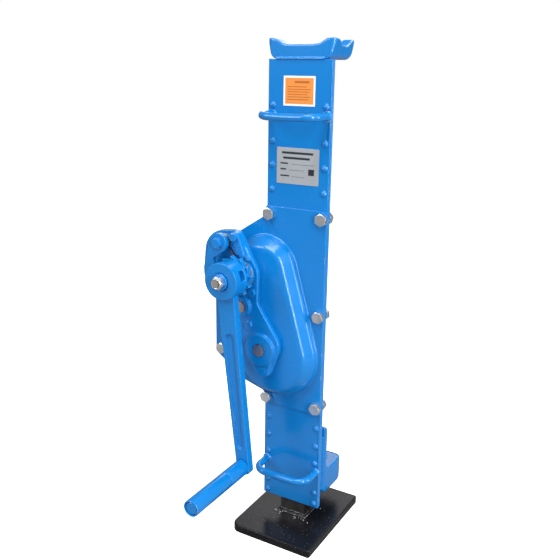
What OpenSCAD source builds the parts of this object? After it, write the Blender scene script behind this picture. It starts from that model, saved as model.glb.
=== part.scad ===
// Rack jack with a foot toe: a cranked gear train climbs a fixed toothed rack.
// +Z is up, -Y is the crank side, and the origin is the middle of the base plate's underside.

/* [Base and rack] */
// Width of the base plate
base_w = 136; // [110:1:180]
// Depth of the base plate, from the crank side to the toe side
base_d = 171; // [140:1:220]
// Thickness of the base plate
base_t = 12; // [8:1:16]
// Radius of the base plate's corners
base_r = 3.5; // [2:0.5:20]
// Radius of the base plate's front corner on the crank side
base_cut_r = 14; // [2:1:30]
// Width of the rack, across the teeth
rack_w = 42; // [36:1:50]
// Depth of the rack, along the pinion
rack_d = 24; // [20:1:30]
// Length of the rack above the base plate
rack_len = 678; // [600:1:800]
// Running gap between the rack and its guides
rack_gap = 0.3; // [0.2:0.05:0.6]

/* [Column] */
// Gap between the ground and the column's lower end when it is fully down
column_z = 40; // [34:1:60]
// Length of the column's plate and channel
column_len = 660; // [560:1:780]
// Width of the front plate outside the channel, on each side
plate_rim = 16.7; // [14:0.1:20]
// Thickness of the front plate
plate_t = 4.5; // [3:0.5:8]
// Thickness of the channel's sheet
channel_t = 4; // [3:0.5:6]
// Gap between the rack and the front plate
front_gap = 4; // [3:0.5:8]
// Gap between the rack and the channel's sides
side_gap = 6; // [4:0.5:8]
// Gap between the rack and the channel's back
back_gap = 2; // [1.5:0.5:6]
// Height of each rack guide
guide_h = 120; // [80:1:140]
// Radius of a column rivet's head
rivet_head_r = 4.5; // [4:0.5:7]
// Radius of a column rivet's shank
rivet_r = 3; // [2:0.5:4]

/* [Head and toe] */
// Width of the head over its horns
head_w = 101; // [84:1:110]
// Depth of the head over its horns
head_d = 63; // [56:1:80]
// Height of the head from the column to its horn tips
head_h = 27; // [24:1:40]
// Height of the horns over the saddle
horn_h = 9; // [6:1:16]
// Width of the toe outside the channel, on each side
toe_rim = 7; // [3:0.5:10]
// Corner radius of the toe's tongue, seen from above
toe_r = 27; // [8:1:30]
// Height of the toe's top face above the ground
toe_z = 78; // [66:1:90]
// Reach of the toe from the back of the channel
toe_reach = 80; // [55:1:90]
// Thickness of the toe's upright web
toe_web_t = 11; // [8:1:18]
// Height of the web's top above the ground
toe_web_top = 156; // [130:1:180]

/* [Handles and labels] */
// Radius of the grab handles' rod
grab_r = 5.3; // [3:0.1:6]
// Distance from the front plate to the middle of a grab handle's bar
grab_out = 37; // [30:1:50]
// Inside bend radius of a grab handle
grab_bend = 12; // [8:1:18]
// Width of the upper label
upper_label_w = 48; // [40:1:70]
// Height of the upper label
upper_label_h = 39; // [25:1:50]
// Height of the upper label's middle above the ground
upper_label_z = 659; // [640:1:680]
// Width of the rating plate
rating_w = 65.5; // [50:0.5:80]
// Height of the rating plate
rating_h = 49.5; // [30:0.5:60]
// Height of the rating plate's middle above the ground
rating_z = 559.2; // [540:0.1:590]

/* [Gear train] */
// Module of the rack and its pinion
rack_module = 4; // [3.5:0.5:5]
// Teeth of the rack pinion
rack_pinion_teeth = 8; // [8:1:10]
// Module of the slow gear pair
slow_module = 3.5; // [3:0.25:4]
// Teeth of the slow pair's pinion
slow_pinion_teeth = 8; // [8:1:10]
// Teeth of the slow pair's gear
slow_gear_teeth = 31; // [28:1:34]
// Module of the fast gear pair
fast_module = 2; // [1.5:0.25:2.25]
// Teeth of the fast pair's pinion
fast_pinion_teeth = 10; // [9:1:12]
// Teeth of the fast pair's gear
fast_gear_teeth = 38; // [34:1:42]
// Pressure angle of all the teeth
pressure_angle = 25; // [22:1:27]
// Play between two meshed teeth
backlash = 0.5; // [0.3:0.05:0.8]
// Width of the slow pair's teeth
slow_face_w = 10; // [8:1:12]
// Width of the fast pair's teeth
fast_face_w = 7; // [5:1:9]
// Radius of the low shaft's journals
low_shaft_r = 9; // [8:0.5:10]
// Radius of the middle shaft's journals
mid_shaft_r = 8; // [7:0.5:9]
// Radius of the crank shaft's journals
crank_shaft_r = 9; // [7:0.5:9]
// Radial clearance of a shaft in its bush
run_gap = 0.05; // [0.02:0.01:0.1]
// Wall of the bushes
bush_t = 3; // [2:0.5:3.5]

/* [Gear case] */
// Thickness of the cover's sheet
cover_t = 3; // [2:0.5:4]
// Height of the cover's dome over its flange
dome_h = 23; // [22:1:32]
// Thickness of the bearing bracket
bracket_t = 10; // [8:1:14]
// Height of the bracket's bosses
boss_h = 6; // [3:0.5:8]
// Radius of the case bolts' shanks
bolt_r = 5; // [4:0.5:6]
// Width across the flats of the case bolts' heads
bolt_af = 16; // [14:1:18]

/* [Crank and brake] */
// Distance from the crank shaft to the grip
crank_len = 280; // [250:1:300]
// Lean of the crank arm when it hangs at rest
crank_lean = 6.5; // [0:0.5:10]
// Thickness of the crank arm
arm_t = 13; // [10:0.5:16]
// Width of the crank arm at its hub
arm_top_w = 28; // [24:1:34]
// Width of the crank arm at its grip
arm_end_w = 21; // [18:0.5:26]
// Radius of the crank's hub
hub_r = 26.5; // [24:0.5:30]
// Length of the crank's hub
hub_len = 29; // [26:1:34]
// Radius of the grip
grip_r = 12; // [10:0.5:15]
// Length of the grip
grip_len = 124; // [100:1:130]
// Radius over the ratchet wheel's teeth
ratchet_r = 30; // [28:0.5:31]
// Thickness of the ratchet wheel
ratchet_t = 8; // [6:0.5:10]
// Thickness of each friction disc
friction_t = 2.2; // [1.5:0.1:3]

/* [Hidden] */
$fn = 64;

paint = "dodgerblue";
steel = "silver";
dark_steel = "dimgray";

// heights
rack_top = base_t + rack_len;
column_top = column_z + column_len;

// depths, counted towards the crank side
plate_back = -rack_d / 2 - front_gap;
plate_front = plate_back - plate_t;
flange_front = plate_front - cover_t;
dome_front = flange_front - dome_h;
bracket_front = dome_front - bracket_t;
boss_front = bracket_front - boss_h;
bush_front = boss_front + 1.5;
lip_gap = 0.4;
shaft_set = 1.5;

// depths, counted towards the toe side
channel_inside = rack_d / 2 + back_gap;
channel_back = channel_inside + channel_t;
rear_plate_t = 5;
rear_plate_back = channel_back + rear_plate_t;

// widths
core_in = rack_w / 2 + side_gap;
core_out = core_in + channel_t;
plate_w = 2 * (core_out + plate_rim);
toe_w = 2 * (core_out + toe_rim);
rivet_shift = 1.4;
rivet_x = (plate_w / 2 + core_out) / 2 + rivet_shift;

// gear train: [x, z] of the three shafts
rack_pinion_r = rack_module * rack_pinion_teeth / 2;
rack_addendum = 0.65 * rack_module;
rack_dedendum = 1.05 * rack_module;
slow_distance = slow_module * (slow_pinion_teeth + slow_gear_teeth) / 2;
fast_distance = fast_module * (fast_pinion_teeth + fast_gear_teeth) / 2;
slow_angle = 117.5;
fast_angle = 93.5;
low_z = 296.5;
rack_pitch_x = -rack_w / 2 + rack_addendum;
low_axis = [rack_pitch_x - rack_pinion_r, low_z];
mid_axis = low_axis + slow_distance * [cos(slow_angle), sin(slow_angle)];
crank_axis = mid_axis + fast_distance * [cos(fast_angle), sin(fast_angle)];
slow_pinion_tip = slow_module * (slow_pinion_teeth / 2 + 0.95);
rack_pinion_tip = rack_pinion_r + 0.9 * rack_module;
fast_pinion_tip = fast_module * (fast_pinion_teeth / 2 + 1);
pinion_room = rack_pinion_tip + 4;
case_wall = 4;

// planes of the gears
plate_gap = 2;
slow_back = plate_front - plate_gap;
slow_front = slow_back - slow_face_w;
fast_back = slow_front - plate_gap;
fast_front = fast_back - fast_face_w;
rack_pinion_len = rack_d - 1;
gear_shaft_r = low_shaft_r + 1;
key_w = 6;
key_h = 6;

// brake stack in front of the bracket
brake_gap = 0.3;
flange_disc_t = 4;
flange_disc_back = boss_front - brake_gap;
inner_disc_back = flange_disc_back - flange_disc_t;
ratchet_back = inner_disc_back - friction_t;
ratchet_gap = 0.05;
outer_disc_back = ratchet_back - ratchet_t - 2 * ratchet_gap;
hub_back = outer_disc_back - friction_t;
hub_front = hub_back - hub_len;
arm_front = hub_front + 7.5;
arm_back = arm_front + arm_t;
washer_t = 3;
washer_r = 12;
washer_sink = 2;
nut_t = 9;
nut_af = 16;
nut_hex_t = 6;
nut_collar_r = 7;
thread_r = 5;
nut_front = hub_front - washer_t - nut_t;
shaft_front = nut_front - shaft_set;

// crank arm and grip
grip_axis = crank_axis + crank_len * [sin(crank_lean), -cos(crank_lean)];
grip_pin_r = 7;
grip_back = arm_front - 1.5;
grip_front = grip_back - grip_len;
pin_head_t = 3;
grip_wall = 2;

// ratchet teeth and pawl, placed from the crank shaft
ratchet_teeth = 12;
ratchet_root_r = ratchet_r - 5.5;
ratchet_face_angle = 158;
pawl_axis = crank_axis + [-26, 45.5];
pawl_boss_r = 14;
pawl_bolt_r = 4;
pawl_t = 8;
pawl_post_r = 9;
pawl_back = ratchet_back - 0.2;
pawl_post_front = pawl_back + 0.5;

// outlines on the front of the case, as [x, z, radius], anticlockwise
cover_left = -136;
cover_top = 501;
cover_bottom = 198;
dome_circles = [[-95, 300, 28], [-24, 283, 65], [-45, 408, 50], [-98, 400, 25]];
case_bolt_x = plate_w / 2 - 6.7;
column_bolts = [[-case_bolt_x - 0.7, 490], [case_bolt_x, 490], [case_bolt_x, 350], [case_bolt_x, 208],
    [-case_bolt_x - 0.7, 209]];
wing_bolts = [[-124, 270], [-118, 438]];
long_bolt = 4;
long_bolt_out = 2;
bolt_head_t = 6.5;
bolt_nut_t = 8;
bracket_screw_at = [[-54, 331], [-30, 264], [-49.5, 380], [-74.5, 459.5]];
screw_r = 4;
screw_af = 11;
screw_head_t = 4;

// walls of the bosses round the low, middle and crank bushes, and the cover's clearance round each bush
boss_walls = [11.5, 4, 9];
cover_clear = [4, 3, 2];

// grab handles: heights of their bars
grab_heights = [101, 627.5];
grab_leg_x = plate_w / 2 - grab_r;

// rows of rivets
rivet_tail_t = 2;
lower_rows = [47, 65.5, 115, 144, 173.5];
upper_rows = [525, 559, 591.6, 639.5];
lower_guide_z = column_z + 6;
upper_guide_z = 522;

// angle of the outward normal of the line that touches circles a and b, b following a anticlockwise
function touch(a, b) =
    let (dx = b[0] - a[0], dz = b[1] - a[1])
    atan2(dz, dx) - acos((a[2] - b[2]) / norm([dx, dz]));

// sweep from angle a to angle b, anticlockwise for a corner and clockwise for a hollow
function sweep(a, b, ccw) =
    let (d = (b - a) - 360 * floor((b - a) / 360))
    ccw ? (d > 359.9 ? 0 : d) : (d < 0.1 ? 0 : d - 360);

// points of an outline that runs round circles; a negative radius makes a hollow corner
function outline(circles, fine = 12) = [
    for (i = [0:len(circles) - 1])
        let (
            c = circles[i],
            from = touch(circles[(i + len(circles) - 1) % len(circles)], c),
            turn = sweep(from, touch(c, circles[(i + 1) % len(circles)]), c[2] >= 0),
            steps = c[2] == 0 ? 0 : max(1, ceil(abs(turn) / fine)))
        for (k = [0:steps])
            let (a = from + (steps == 0 ? 0 : turn * k / steps))
            [c[0] + c[2] * cos(a), c[1] + c[2] * sin(a)]];

// circles of a rectangle with round corners
function round_box(x0, z0, x1, z1, r) = [
    [x0 + r, z0 + r, r], [x1 - r, z0 + r, r], [x1 - r, z1 - r, r], [x0 + r, z1 - r, r]];

// a plate that lies in X and Z, from depth y0 to depth y1
module upright(y0, y1) {
    translate([0, max(y0, y1), 0]) rotate([90, 0, 0]) linear_extrude(abs(y1 - y0)) children();
}

// a rod along Y through [x, z], from depth y0 to depth y1
module rod(at, r, y0, y1) {
    translate([at[0], max(y0, y1), at[1]]) rotate([90, 0, 0]) cylinder(r = r, h = abs(y1 - y0));
}

// a hexagon along Y
module hex_rod(at, af, y0, y1) {
    translate([at[0], max(y0, y1), at[1]]) rotate([90, 0, 0])
        cylinder(r = af / 2 / cos(30), h = abs(y1 - y0), $fn = 6);
}

// a block from corner a to corner b
module block(a, b) {
    translate(a) cube(b - a);
}

// involute angle at radius r of a gear with base circle rb
function involute(rb, r) = let (t = acos(min(1, rb / r))) tan(t) * 180 / PI - t;

// points of a gear: teeth, module, tip radius, root radius; a tooth points along angle `turn`
function gear_points(teeth, m, tip, root, turn) =
    let (
        rp = m * teeth / 2,
        rb = rp * cos(pressure_angle),
        half = (90 - backlash / 2 / (PI * m) * 360) / teeth,
        start = max(rb, root + 0.01),
        flank = [for (k = [0:4]) start + (tip - start) * k / 4],
        wide = [for (r = flank) half + involute(rb, rp) - involute(rb, r)])
    [for (i = [0:teeth - 1])
        let (mid = turn + 360 * i / teeth)
        each concat(
            [root * [cos(mid - wide[0]), sin(mid - wide[0])]],
            [for (k = [0:4]) flank[k] * [cos(mid - wide[k]), sin(mid - wide[k])]],
            [for (k = [4:-1:0]) flank[k] * [cos(mid + wide[k]), sin(mid + wide[k])]],
            [root * [cos(mid + wide[0]), sin(mid + wide[0])]])];

module gear(at, teeth, m, tip, root, turn, y0, y1) {
    translate([at[0], 0, at[1]]) upright(y0, y1) polygon(gear_points(teeth, m, tip, root, turn));
}

// pinion and gear turned so that they mesh along the line between their shafts
rack_pinion_turn = 0;
slow_gear_turn = slow_angle;
slow_pinion_turn = slow_angle + 180 + 180 / slow_pinion_teeth;
fast_gear_turn = fast_angle;
fast_pinion_turn = fast_angle + 180 + 180 / fast_pinion_teeth;

// ---- base and rack ----
module base_plate() {
    corners = round_box(-base_w / 2, -base_d / 2, base_w / 2, base_d / 2, base_r);
    cut = [-base_w / 2 + base_cut_r, -base_d / 2 + base_cut_r, base_cut_r];
    color("black") linear_extrude(base_t)
        polygon(outline([cut, corners[1], corners[2], corners[3]]));
}

module rack() {
    pitch = PI * rack_module;
    gap = pitch / 2 + backlash / 2;
    lean = tan(pressure_angle);
    half_mouth = gap / 2 + rack_addendum * lean;
    half_floor = gap / 2 - rack_dedendum * lean;
    mouth_x = rack_pitch_x - rack_addendum;
    floor_x = rack_pitch_x + rack_dedendum;
    teeth_down = 3;
    teeth_up = floor((rack_top - 12 - low_z) / pitch);
    color(dark_steel) difference() {
        block([-rack_w / 2, -rack_d / 2, base_t], [rack_w / 2, rack_d / 2, rack_top]);
        upright(-rack_d / 2 - 1, rack_d / 2 + 1) for (k = [-teeth_down:teeth_up])
            translate([0, low_z + k * pitch]) polygon([
                [mouth_x - 1, -half_mouth], [mouth_x, -half_mouth], [floor_x, -half_floor],
                [floor_x, half_floor], [mouth_x, half_mouth], [mouth_x - 1, half_mouth]]);
    }
}

// fillet round the foot of a w by d bar that stands on the base plate
module rack_weld() {
    leg = 4.5;
    color("black") difference() {
        intersection() {
            translate([0, rack_d / 2 + leg, base_t]) rotate([90, 0, 0]) linear_extrude(rack_d + 2 * leg)
                polygon([[-rack_w / 2 - leg, 0], [rack_w / 2 + leg, 0], [rack_w / 2, leg],
                    [-rack_w / 2, leg]]);
            translate([-rack_w / 2 - leg, 0, base_t]) rotate([90, 0, 90]) linear_extrude(rack_w + 2 * leg)
                polygon([[-rack_d / 2 - leg, 0], [rack_d / 2 + leg, 0], [rack_d / 2, leg],
                    [-rack_d / 2, leg]]);
        }
        block([-rack_w / 2, -rack_d / 2, base_t - 1], [rack_w / 2, rack_d / 2, base_t + leg + 1]);
    }
}

// ---- column ----
// outline of the gear case: the column's width on the right, and a wing on the left
case_points = outline([
    [-plate_w / 2, cover_bottom, 0], [plate_w / 2, cover_bottom, 0], [plate_w / 2, cover_top, 0],
    [-plate_w / 2, cover_top, 0], [-plate_w / 2 - 10, 493, -10], [cover_left + 4, 429, 4],
    [cover_left + 12, 268, 12], [-80, 235, 10], [-plate_w / 2 - 6, 210.6, -6]]);

module bolt_holes(places, r) {
    for (at = places) translate(at) circle(r = r);
}

module rivet_holes() {
    for (z = concat(lower_rows, upper_rows), x = [-rivet_x, rivet_x]) translate([x, z]) circle(r = rivet_r);
}

module front_plate() {
    color(paint) upright(plate_back, plate_front) difference() {
        union() {
            translate([-plate_w / 2, column_z]) square([plate_w, column_len]);
            polygon(case_points);
        }
        rivet_holes();
        bolt_holes(concat(column_bolts, wing_bolts), bolt_r);
        translate(low_axis) circle(r = gear_shaft_r + bush_t);
        translate(mid_axis) circle(r = mid_shaft_r + bush_t);
        translate(crank_axis) circle(r = crank_shaft_r + bush_t);
    }
}

module channel() {
    flange_back = plate_back + channel_t;
    color(paint) difference() {
        translate([0, 0, column_z]) linear_extrude(column_len) polygon([
            [-plate_w / 2, plate_back], [-core_in, plate_back], [-core_in, channel_inside],
            [core_in, channel_inside], [core_in, plate_back], [plate_w / 2, plate_back],
            [plate_w / 2, flange_back], [core_out, flange_back], [core_out, channel_back],
            [-core_out, channel_back], [-core_out, flange_back], [-plate_w / 2, flange_back]]);
        upright(plate_back - 1, flange_back + 1) {
            rivet_holes();
            bolt_holes(column_bolts, bolt_r);
        }
        block([-plate_w / 2 - 1, plate_back - 1, low_z - pinion_room],
            [-core_in + 0.01, channel_inside, low_z + pinion_room]);
        rod(low_axis, low_shaft_r + bush_t, channel_inside - 1, channel_back + 1);
    }
}

module guide(z0) {
    color(dark_steel) difference() {
        block([-core_in, plate_back, z0], [core_in, channel_inside, z0 + guide_h]);
        block([-rack_w / 2 - rack_gap, -rack_d / 2 - rack_gap, z0 - 1],
            [rack_w / 2 + rack_gap, rack_d / 2 + rack_gap, z0 + guide_h + 1]);
    }
}
module upper_guide() { guide(upper_guide_z); }
module lower_guide() { guide(lower_guide_z); }

module column_rivets() {
    button_h = rivet_head_r * 0.75;
    tail_back = plate_back + channel_t;
    color(paint) for (z = concat(lower_rows, upper_rows), x = [-rivet_x, rivet_x]) {
        translate([x, plate_front, z]) rotate([90, 0, 0]) rotate_extrude()
            polygon(concat([[0, 0], [rivet_head_r, 0]],
                [for (a = [15:15:90]) [rivet_head_r * cos(a), button_h * sin(a)]]));
        rod([x, z], rivet_r, plate_front, tail_back);
        rod([x, z], rivet_r + 1.3, tail_back, tail_back + rivet_tail_t);
    }
}

// ---- head and toe ----
saddle_z = column_top + head_h - horn_h;
head_back = plate_front + head_d;
horn_r = 3;

// the head's outline across: leaning ends that rise to flat-topped horns beside a dished saddle
module head_across() {
    half = head_w / 2;
    bowl_r = head_h / 2.7;
    end_lean = 4.5;
    horn_w = 12;
    dish = 1.5;
    dish_x = half / 3;
    right = [[half - bowl_r - end_lean, column_top + bowl_r, bowl_r],
        [half - horn_r, column_top + head_h - horn_r, horn_r],
        [half - horn_w, column_top + head_h - horn_r - 1, horn_r],
        [half - horn_w - 14, saddle_z + dish + 9, -9], [dish_x, saddle_z + dish / 3, 0]];
    left = [for (k = [4:-1:0]) [-right[k][0], right[k][1], right[k][2]]];
    polygon(outline(concat(right, left)));
}

module head_along() {
    belly_r = head_h / 2 + 3;
    belly_drop = 8;
    top = column_top + head_h - horn_r;
    polygon(outline([[plate_front, column_top, 0], [channel_back, column_top, 0],
        [channel_back, column_top - belly_drop + 2, 0],
        [head_back - belly_r - 1, column_top - belly_drop + belly_r, belly_r],
        [head_back - horn_r, top, horn_r], [head_back - 9, top - 1, horn_r],
        [head_back - 23, saddle_z + 9, -9], [plate_front + 28, saddle_z + 9, -9],
        [plate_front + 14, top - 1, horn_r], [plate_front + 3, top, horn_r]]));
}

// three horns: the back corner on the crank arm's side is cut down to the saddle
module head() {
    corner_r = 9;
    color(paint) difference() {
        intersection() {
            upright(plate_front - 1, head_back + 1) head_across();
            translate([-head_w, 0, 0]) rotate([90, 0, 90]) linear_extrude(2 * head_w) head_along();
            translate([0, 0, column_top - 10]) linear_extrude(head_h + 20)
                polygon(outline(
                    round_box(-head_w / 2 - 1, plate_front, head_w / 2 + 1, head_back, corner_r)));
        }
        block([-head_w, plate_front + head_d / 2, saddle_z + 1],
            [0, head_back + 1, column_top + head_h + 1]);
    }
}

// weld bead with a triangular section along X
module bead_x(x0, x1, at, leg, up) {
    translate([x0, at[0], at[1]]) rotate([90, 0, 90]) linear_extrude(x1 - x0)
        polygon([[0, 0], [-leg, 0], [0, up * leg]]);
}

module head_weld() {
    half = head_w / 2 - 14;
    color(paint) bead_x(-half, half, [plate_front, column_top], 2, 2.5);
}

module toe() {
    y0 = channel_back;
    tip = y0 + toe_reach;
    root_y = y0 + toe_web_t;
    nose_r = 16;
    chin_r = 14;
    root_r = 12;
    color(paint) intersection() {
        translate([-toe_w / 2, 0, 0]) rotate([90, 0, 90]) linear_extrude(toe_w) polygon(outline([
            [y0, toe_z - 32, 0], [y0 + 7, toe_z - 39, 0], [y0 + 38, toe_z - 40, 0],
            [tip - chin_r, toe_z - 26, chin_r], [tip - nose_r, toe_z - nose_r, nose_r],
            [root_y + root_r, toe_z + root_r, -root_r], [root_y - 7, toe_web_top - 7, 7],
            [y0, toe_web_top, 0]]));
        translate([0, 0, column_z - 10]) linear_extrude(toe_web_top)
            polygon(outline(round_box(-toe_w / 2, y0 - toe_r, toe_w / 2, tip, toe_r)));
    }
}

module toe_weld() {
    leg = 5;
    bead_z = column_z + 8;
    color(paint) for (s = [0, 1]) mirror([s, 0, 0]) translate([core_out, channel_back, bead_z])
        linear_extrude(toe_web_top - bead_z - 15)
            polygon([[0, 0], [toe_rim, 0], [0, -leg]]);
}

// ---- handles and labels ----
module grab_handle(z) {
    bend = grab_bend + grab_r;
    bar_y = plate_front - grab_out;
    color(paint) for (s = [-1, 1]) {
        rod([s * grab_leg_x, z], grab_r, plate_front, bar_y + bend);
        translate([s * (grab_leg_x - bend), bar_y + bend, z]) rotate([0, 0, s > 0 ? -90 : 180])
            rotate_extrude(angle = 90) translate([bend, 0]) circle(r = grab_r);
    }
    color(paint) translate([-grab_leg_x + bend, bar_y, z]) rotate([0, 90, 0])
        cylinder(r = grab_r, h = 2 * (grab_leg_x - bend));
}
module upper_grab_handle() { grab_handle(grab_heights[1]); }
module lower_grab_handle() { grab_handle(grab_heights[0]); }

module warning_label() {
    color("orange") upright(plate_front, plate_front - 0.4)
        polygon(outline(round_box(-upper_label_w / 2, upper_label_z - upper_label_h / 2, upper_label_w / 2,
            upper_label_z + upper_label_h / 2, 1)));
}

module rating_plate() {
    color(steel) upright(plate_front, plate_front - 0.6)
        polygon(outline(round_box(-rating_w / 2, rating_z - rating_h / 2, rating_w / 2,
            rating_z + rating_h / 2, 1.5)));
}

// ---- gear case ----
// U-shaped box behind the wing, round the rack pinion
module pinion_case() {
    wall = case_wall;
    x0 = low_axis[0] - pinion_room - wall;
    z0 = low_z - pinion_room;
    z1 = low_z + pinion_room;
    color(paint) difference() {
        block([x0, plate_back, z0], [-core_out, channel_back, z1]);
        block([x0 + wall, plate_back - 1, z0 + wall], [-core_out + 1, channel_back + 1, z1 - wall]);
    }
}

module rear_bearing_plate() {
    margin = pinion_room + case_wall;
    corner_r = 8;
    color(paint) upright(channel_back, rear_plate_back) difference() {
        polygon(outline(round_box(low_axis[0] - margin, low_z - margin, low_axis[0] + margin, low_z + margin,
            corner_r)));
        translate(low_axis) circle(r = low_shaft_r + bush_t);
    }
}

module dome_solid(inset) {
    rings = [[0, 0], [1, dome_h - 16], [2.8, dome_h - 12.5], [10.6, dome_h - 2], [15.5, dome_h]];
    hull() for (ring = rings) upright(flange_front + inset, flange_front - ring[1] + inset)
        polygon(outline([for (c = dome_circles) [c[0], c[1], c[2] - ring[0] - inset]], 15));
}

module gear_cover() {
    color(paint) difference() {
        union() {
            upright(plate_front, flange_front) polygon(case_points);
            dome_solid(0);
        }
        dome_solid(cover_t);
        upright(plate_front + 1, flange_front - 1) bolt_holes(concat(column_bolts, wing_bolts), bolt_r);
        rod(low_axis, low_shaft_r + bush_t + cover_clear[0], dome_front - 1, flange_front);
        rod(mid_axis, mid_shaft_r + bush_t + cover_clear[1], dome_front - 1, flange_front);
        rod(crank_axis, crank_shaft_r + bush_t + cover_clear[2], dome_front - 1, flange_front);
        for (at = bracket_screw_at) rod(at, screw_r, dome_front - 1, flange_front);
    }
}

module case_bolt(at, out, grip) {
    under_head = flange_front - out;
    hex_rod(at, bolt_af, under_head - bolt_head_t, under_head);
    rod(at, bolt_r, under_head, grip + bolt_nut_t + 2);
}

module cover_bolts() {
    color(steel) {
        for (i = [0:len(column_bolts) - 1])
            case_bolt(column_bolts[i], i == long_bolt ? long_bolt_out : 0, plate_back + channel_t);
        for (at = wing_bolts) case_bolt(at, 0, plate_back);
    }
}

module case_nut(at, seat) {
    difference() {
        hex_rod(at, bolt_af, seat, seat + bolt_nut_t);
        rod(at, bolt_r, seat - 1, seat + bolt_nut_t + 1);
    }
}

module cover_nuts() {
    color(steel) {
        for (at = column_bolts) case_nut(at, plate_back + channel_t);
        for (at = wing_bolts) case_nut(at, plate_back);
    }
}

spring_block_t = 10;
bracket_circles = [
    [low_axis[0] + 4, 268, 14], [-32, 302, 27], [-29.3, 367, -12], [crank_axis[0] + 3, 405, 25],
    [-80, 455, 12], [-97, 431, 34], [-100, 400, 34], [-103, 322, -24]];

// a boss's bore: wide for the bush, and narrow where a lip in front keeps the bush in
module boss_bore(at, r) {
    rod(at, r + bush_t, dome_front + 1, bush_front);
    rod(at, r + lip_gap, bush_front + 1, boss_front - 1);
}

module bearing_bracket() {
    color(paint) difference() {
        union() {
            upright(dome_front, bracket_front) polygon(outline(bracket_circles));
            rod(low_axis, low_shaft_r + bush_t + boss_walls[0], bracket_front, boss_front);
            rod(mid_axis, mid_shaft_r + bush_t + boss_walls[1], bracket_front, boss_front);
            rod(crank_axis, crank_shaft_r + bush_t + boss_walls[2], bracket_front, boss_front);
            rod(pawl_axis, pawl_post_r, bracket_front, pawl_post_front);
            upright(bracket_front, bracket_front - spring_block_t)
                polygon(outline([[-62, 435, 4.5], [bracket_screw_at[3][0], bracket_screw_at[3][1], 7]]));
        }
        boss_bore(low_axis, low_shaft_r);
        boss_bore(mid_axis, mid_shaft_r);
        boss_bore(crank_axis, crank_shaft_r);
        rod(pawl_axis, pawl_bolt_r, dome_front + 1, pawl_post_front - 1);
        for (at = bracket_screw_at) rod(at, screw_r, dome_front + 1, bracket_front - 20);
    }
}

module bracket_screws() {
    color(paint) for (at = bracket_screw_at) {
        front = at == bracket_screw_at[3] ? bracket_front - spring_block_t : bracket_front;
        rod(at, screw_r, dome_front + cover_t + 1, front);
        hex_rod(at, screw_af, front, front - screw_head_t);
    }
}

module bush(at, r, y0, y1) {
    difference() {
        rod(at, r + bush_t, y0, y1);
        rod(at, r + run_gap, y0 + 1, y1 - 1);
    }
}

module low_shaft_bushes() {
    color("goldenrod") {
        bush(low_axis, low_shaft_r, rear_plate_back, channel_inside);
        bush(low_axis, gear_shaft_r, plate_back, plate_front);
        bush(low_axis, low_shaft_r, dome_front, bush_front);
    }
}

module mid_shaft_bushes() {
    color("goldenrod") {
        bush(mid_axis, mid_shaft_r, plate_back, plate_front);
        bush(mid_axis, mid_shaft_r, dome_front, bush_front);
    }
}

module crank_shaft_bushes() {
    color("goldenrod") {
        bush(crank_axis, crank_shaft_r, plate_back, plate_front);
        bush(crank_axis, crank_shaft_r, dome_front, bush_front);
    }
}

// ---- gear train ----
module key_block(r, y0, y1) {
    block([low_axis[0] - key_w / 2, y1, low_axis[1] + r - key_h / 2],
        [low_axis[0] + key_w / 2, y0, low_axis[1] + r + key_h / 2]);
}

module rack_pinion_shaft() {
    teeth_front = -rack_pinion_len / 2;
    teeth_back = rack_pinion_len / 2;
    color(dark_steel) difference() {
        union() {
            gear(low_axis, rack_pinion_teeth, rack_module, rack_pinion_tip,
                rack_pinion_r - rack_addendum - 0.15 * rack_module, rack_pinion_turn,
                teeth_back, teeth_front);
            rod(low_axis, low_shaft_r, rear_plate_back + 1, teeth_back);
            rod(low_axis, gear_shaft_r, teeth_front, fast_back);
            rod(low_axis, low_shaft_r, fast_back, boss_front - shaft_set);
        }
        key_block(gear_shaft_r, slow_back, slow_front);
    }
}

module main_gear() {
    pitch_r = slow_module * slow_gear_teeth / 2;
    color(dark_steel) difference() {
        gear(low_axis, slow_gear_teeth, slow_module, pitch_r + 0.65 * slow_module,
            pitch_r - 1.15 * slow_module, slow_gear_turn, slow_back, slow_front);
        rod(low_axis, gear_shaft_r, slow_back + 1, slow_front - 1);
        key_block(gear_shaft_r, slow_back + 1, slow_front - 1);
    }
}

module gear_key() {
    color(steel) key_block(gear_shaft_r, slow_back, slow_front);
}

module mid_shaft() {
    root = slow_module * (slow_pinion_teeth / 2 - 0.85);
    color(dark_steel) {
        gear(mid_axis, slow_pinion_teeth, slow_module, slow_pinion_tip, root, slow_pinion_turn,
            slow_back, slow_front);
        rod(mid_axis, mid_shaft_r, plate_back + shaft_set, slow_back);
        rod(mid_axis, mid_shaft_r + 1, slow_front, fast_front);
        rod(mid_axis, mid_shaft_r, fast_front, boss_front - shaft_set);
    }
}

module mid_gear() {
    pitch_r = fast_module * fast_gear_teeth / 2;
    color(dark_steel) difference() {
        gear(mid_axis, fast_gear_teeth, fast_module, pitch_r + 0.8 * fast_module,
            pitch_r - 1.2 * fast_module, fast_gear_turn, fast_back, fast_front);
        rod(mid_axis, mid_shaft_r + 1, fast_back + 1, fast_front - 1);
    }
}

module crank_shaft() {
    root = fast_module * (fast_pinion_teeth / 2 - 1);
    color(dark_steel) {
        rod(crank_axis, crank_shaft_r, plate_back + shaft_set, plate_front - 1);
        rod(crank_axis, root - 0.5, plate_front - 1, fast_back + 0.5);
        gear(crank_axis, fast_pinion_teeth, fast_module, fast_pinion_tip, root, fast_pinion_turn,
            fast_back + 0.5, fast_front - 0.5);
        rod(crank_axis, root - 0.5, fast_front - 0.5, fast_front - 1.5);
        rod(crank_axis, crank_shaft_r, fast_front - 1.5, flange_disc_back);
        rod(crank_axis, hub_r - 2.5, flange_disc_back, inner_disc_back);
        rod(crank_axis, crank_shaft_r, inner_disc_back, hub_front + washer_sink);
        rod(crank_axis, thread_r, hub_front + washer_sink, shaft_front);
    }
}

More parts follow.
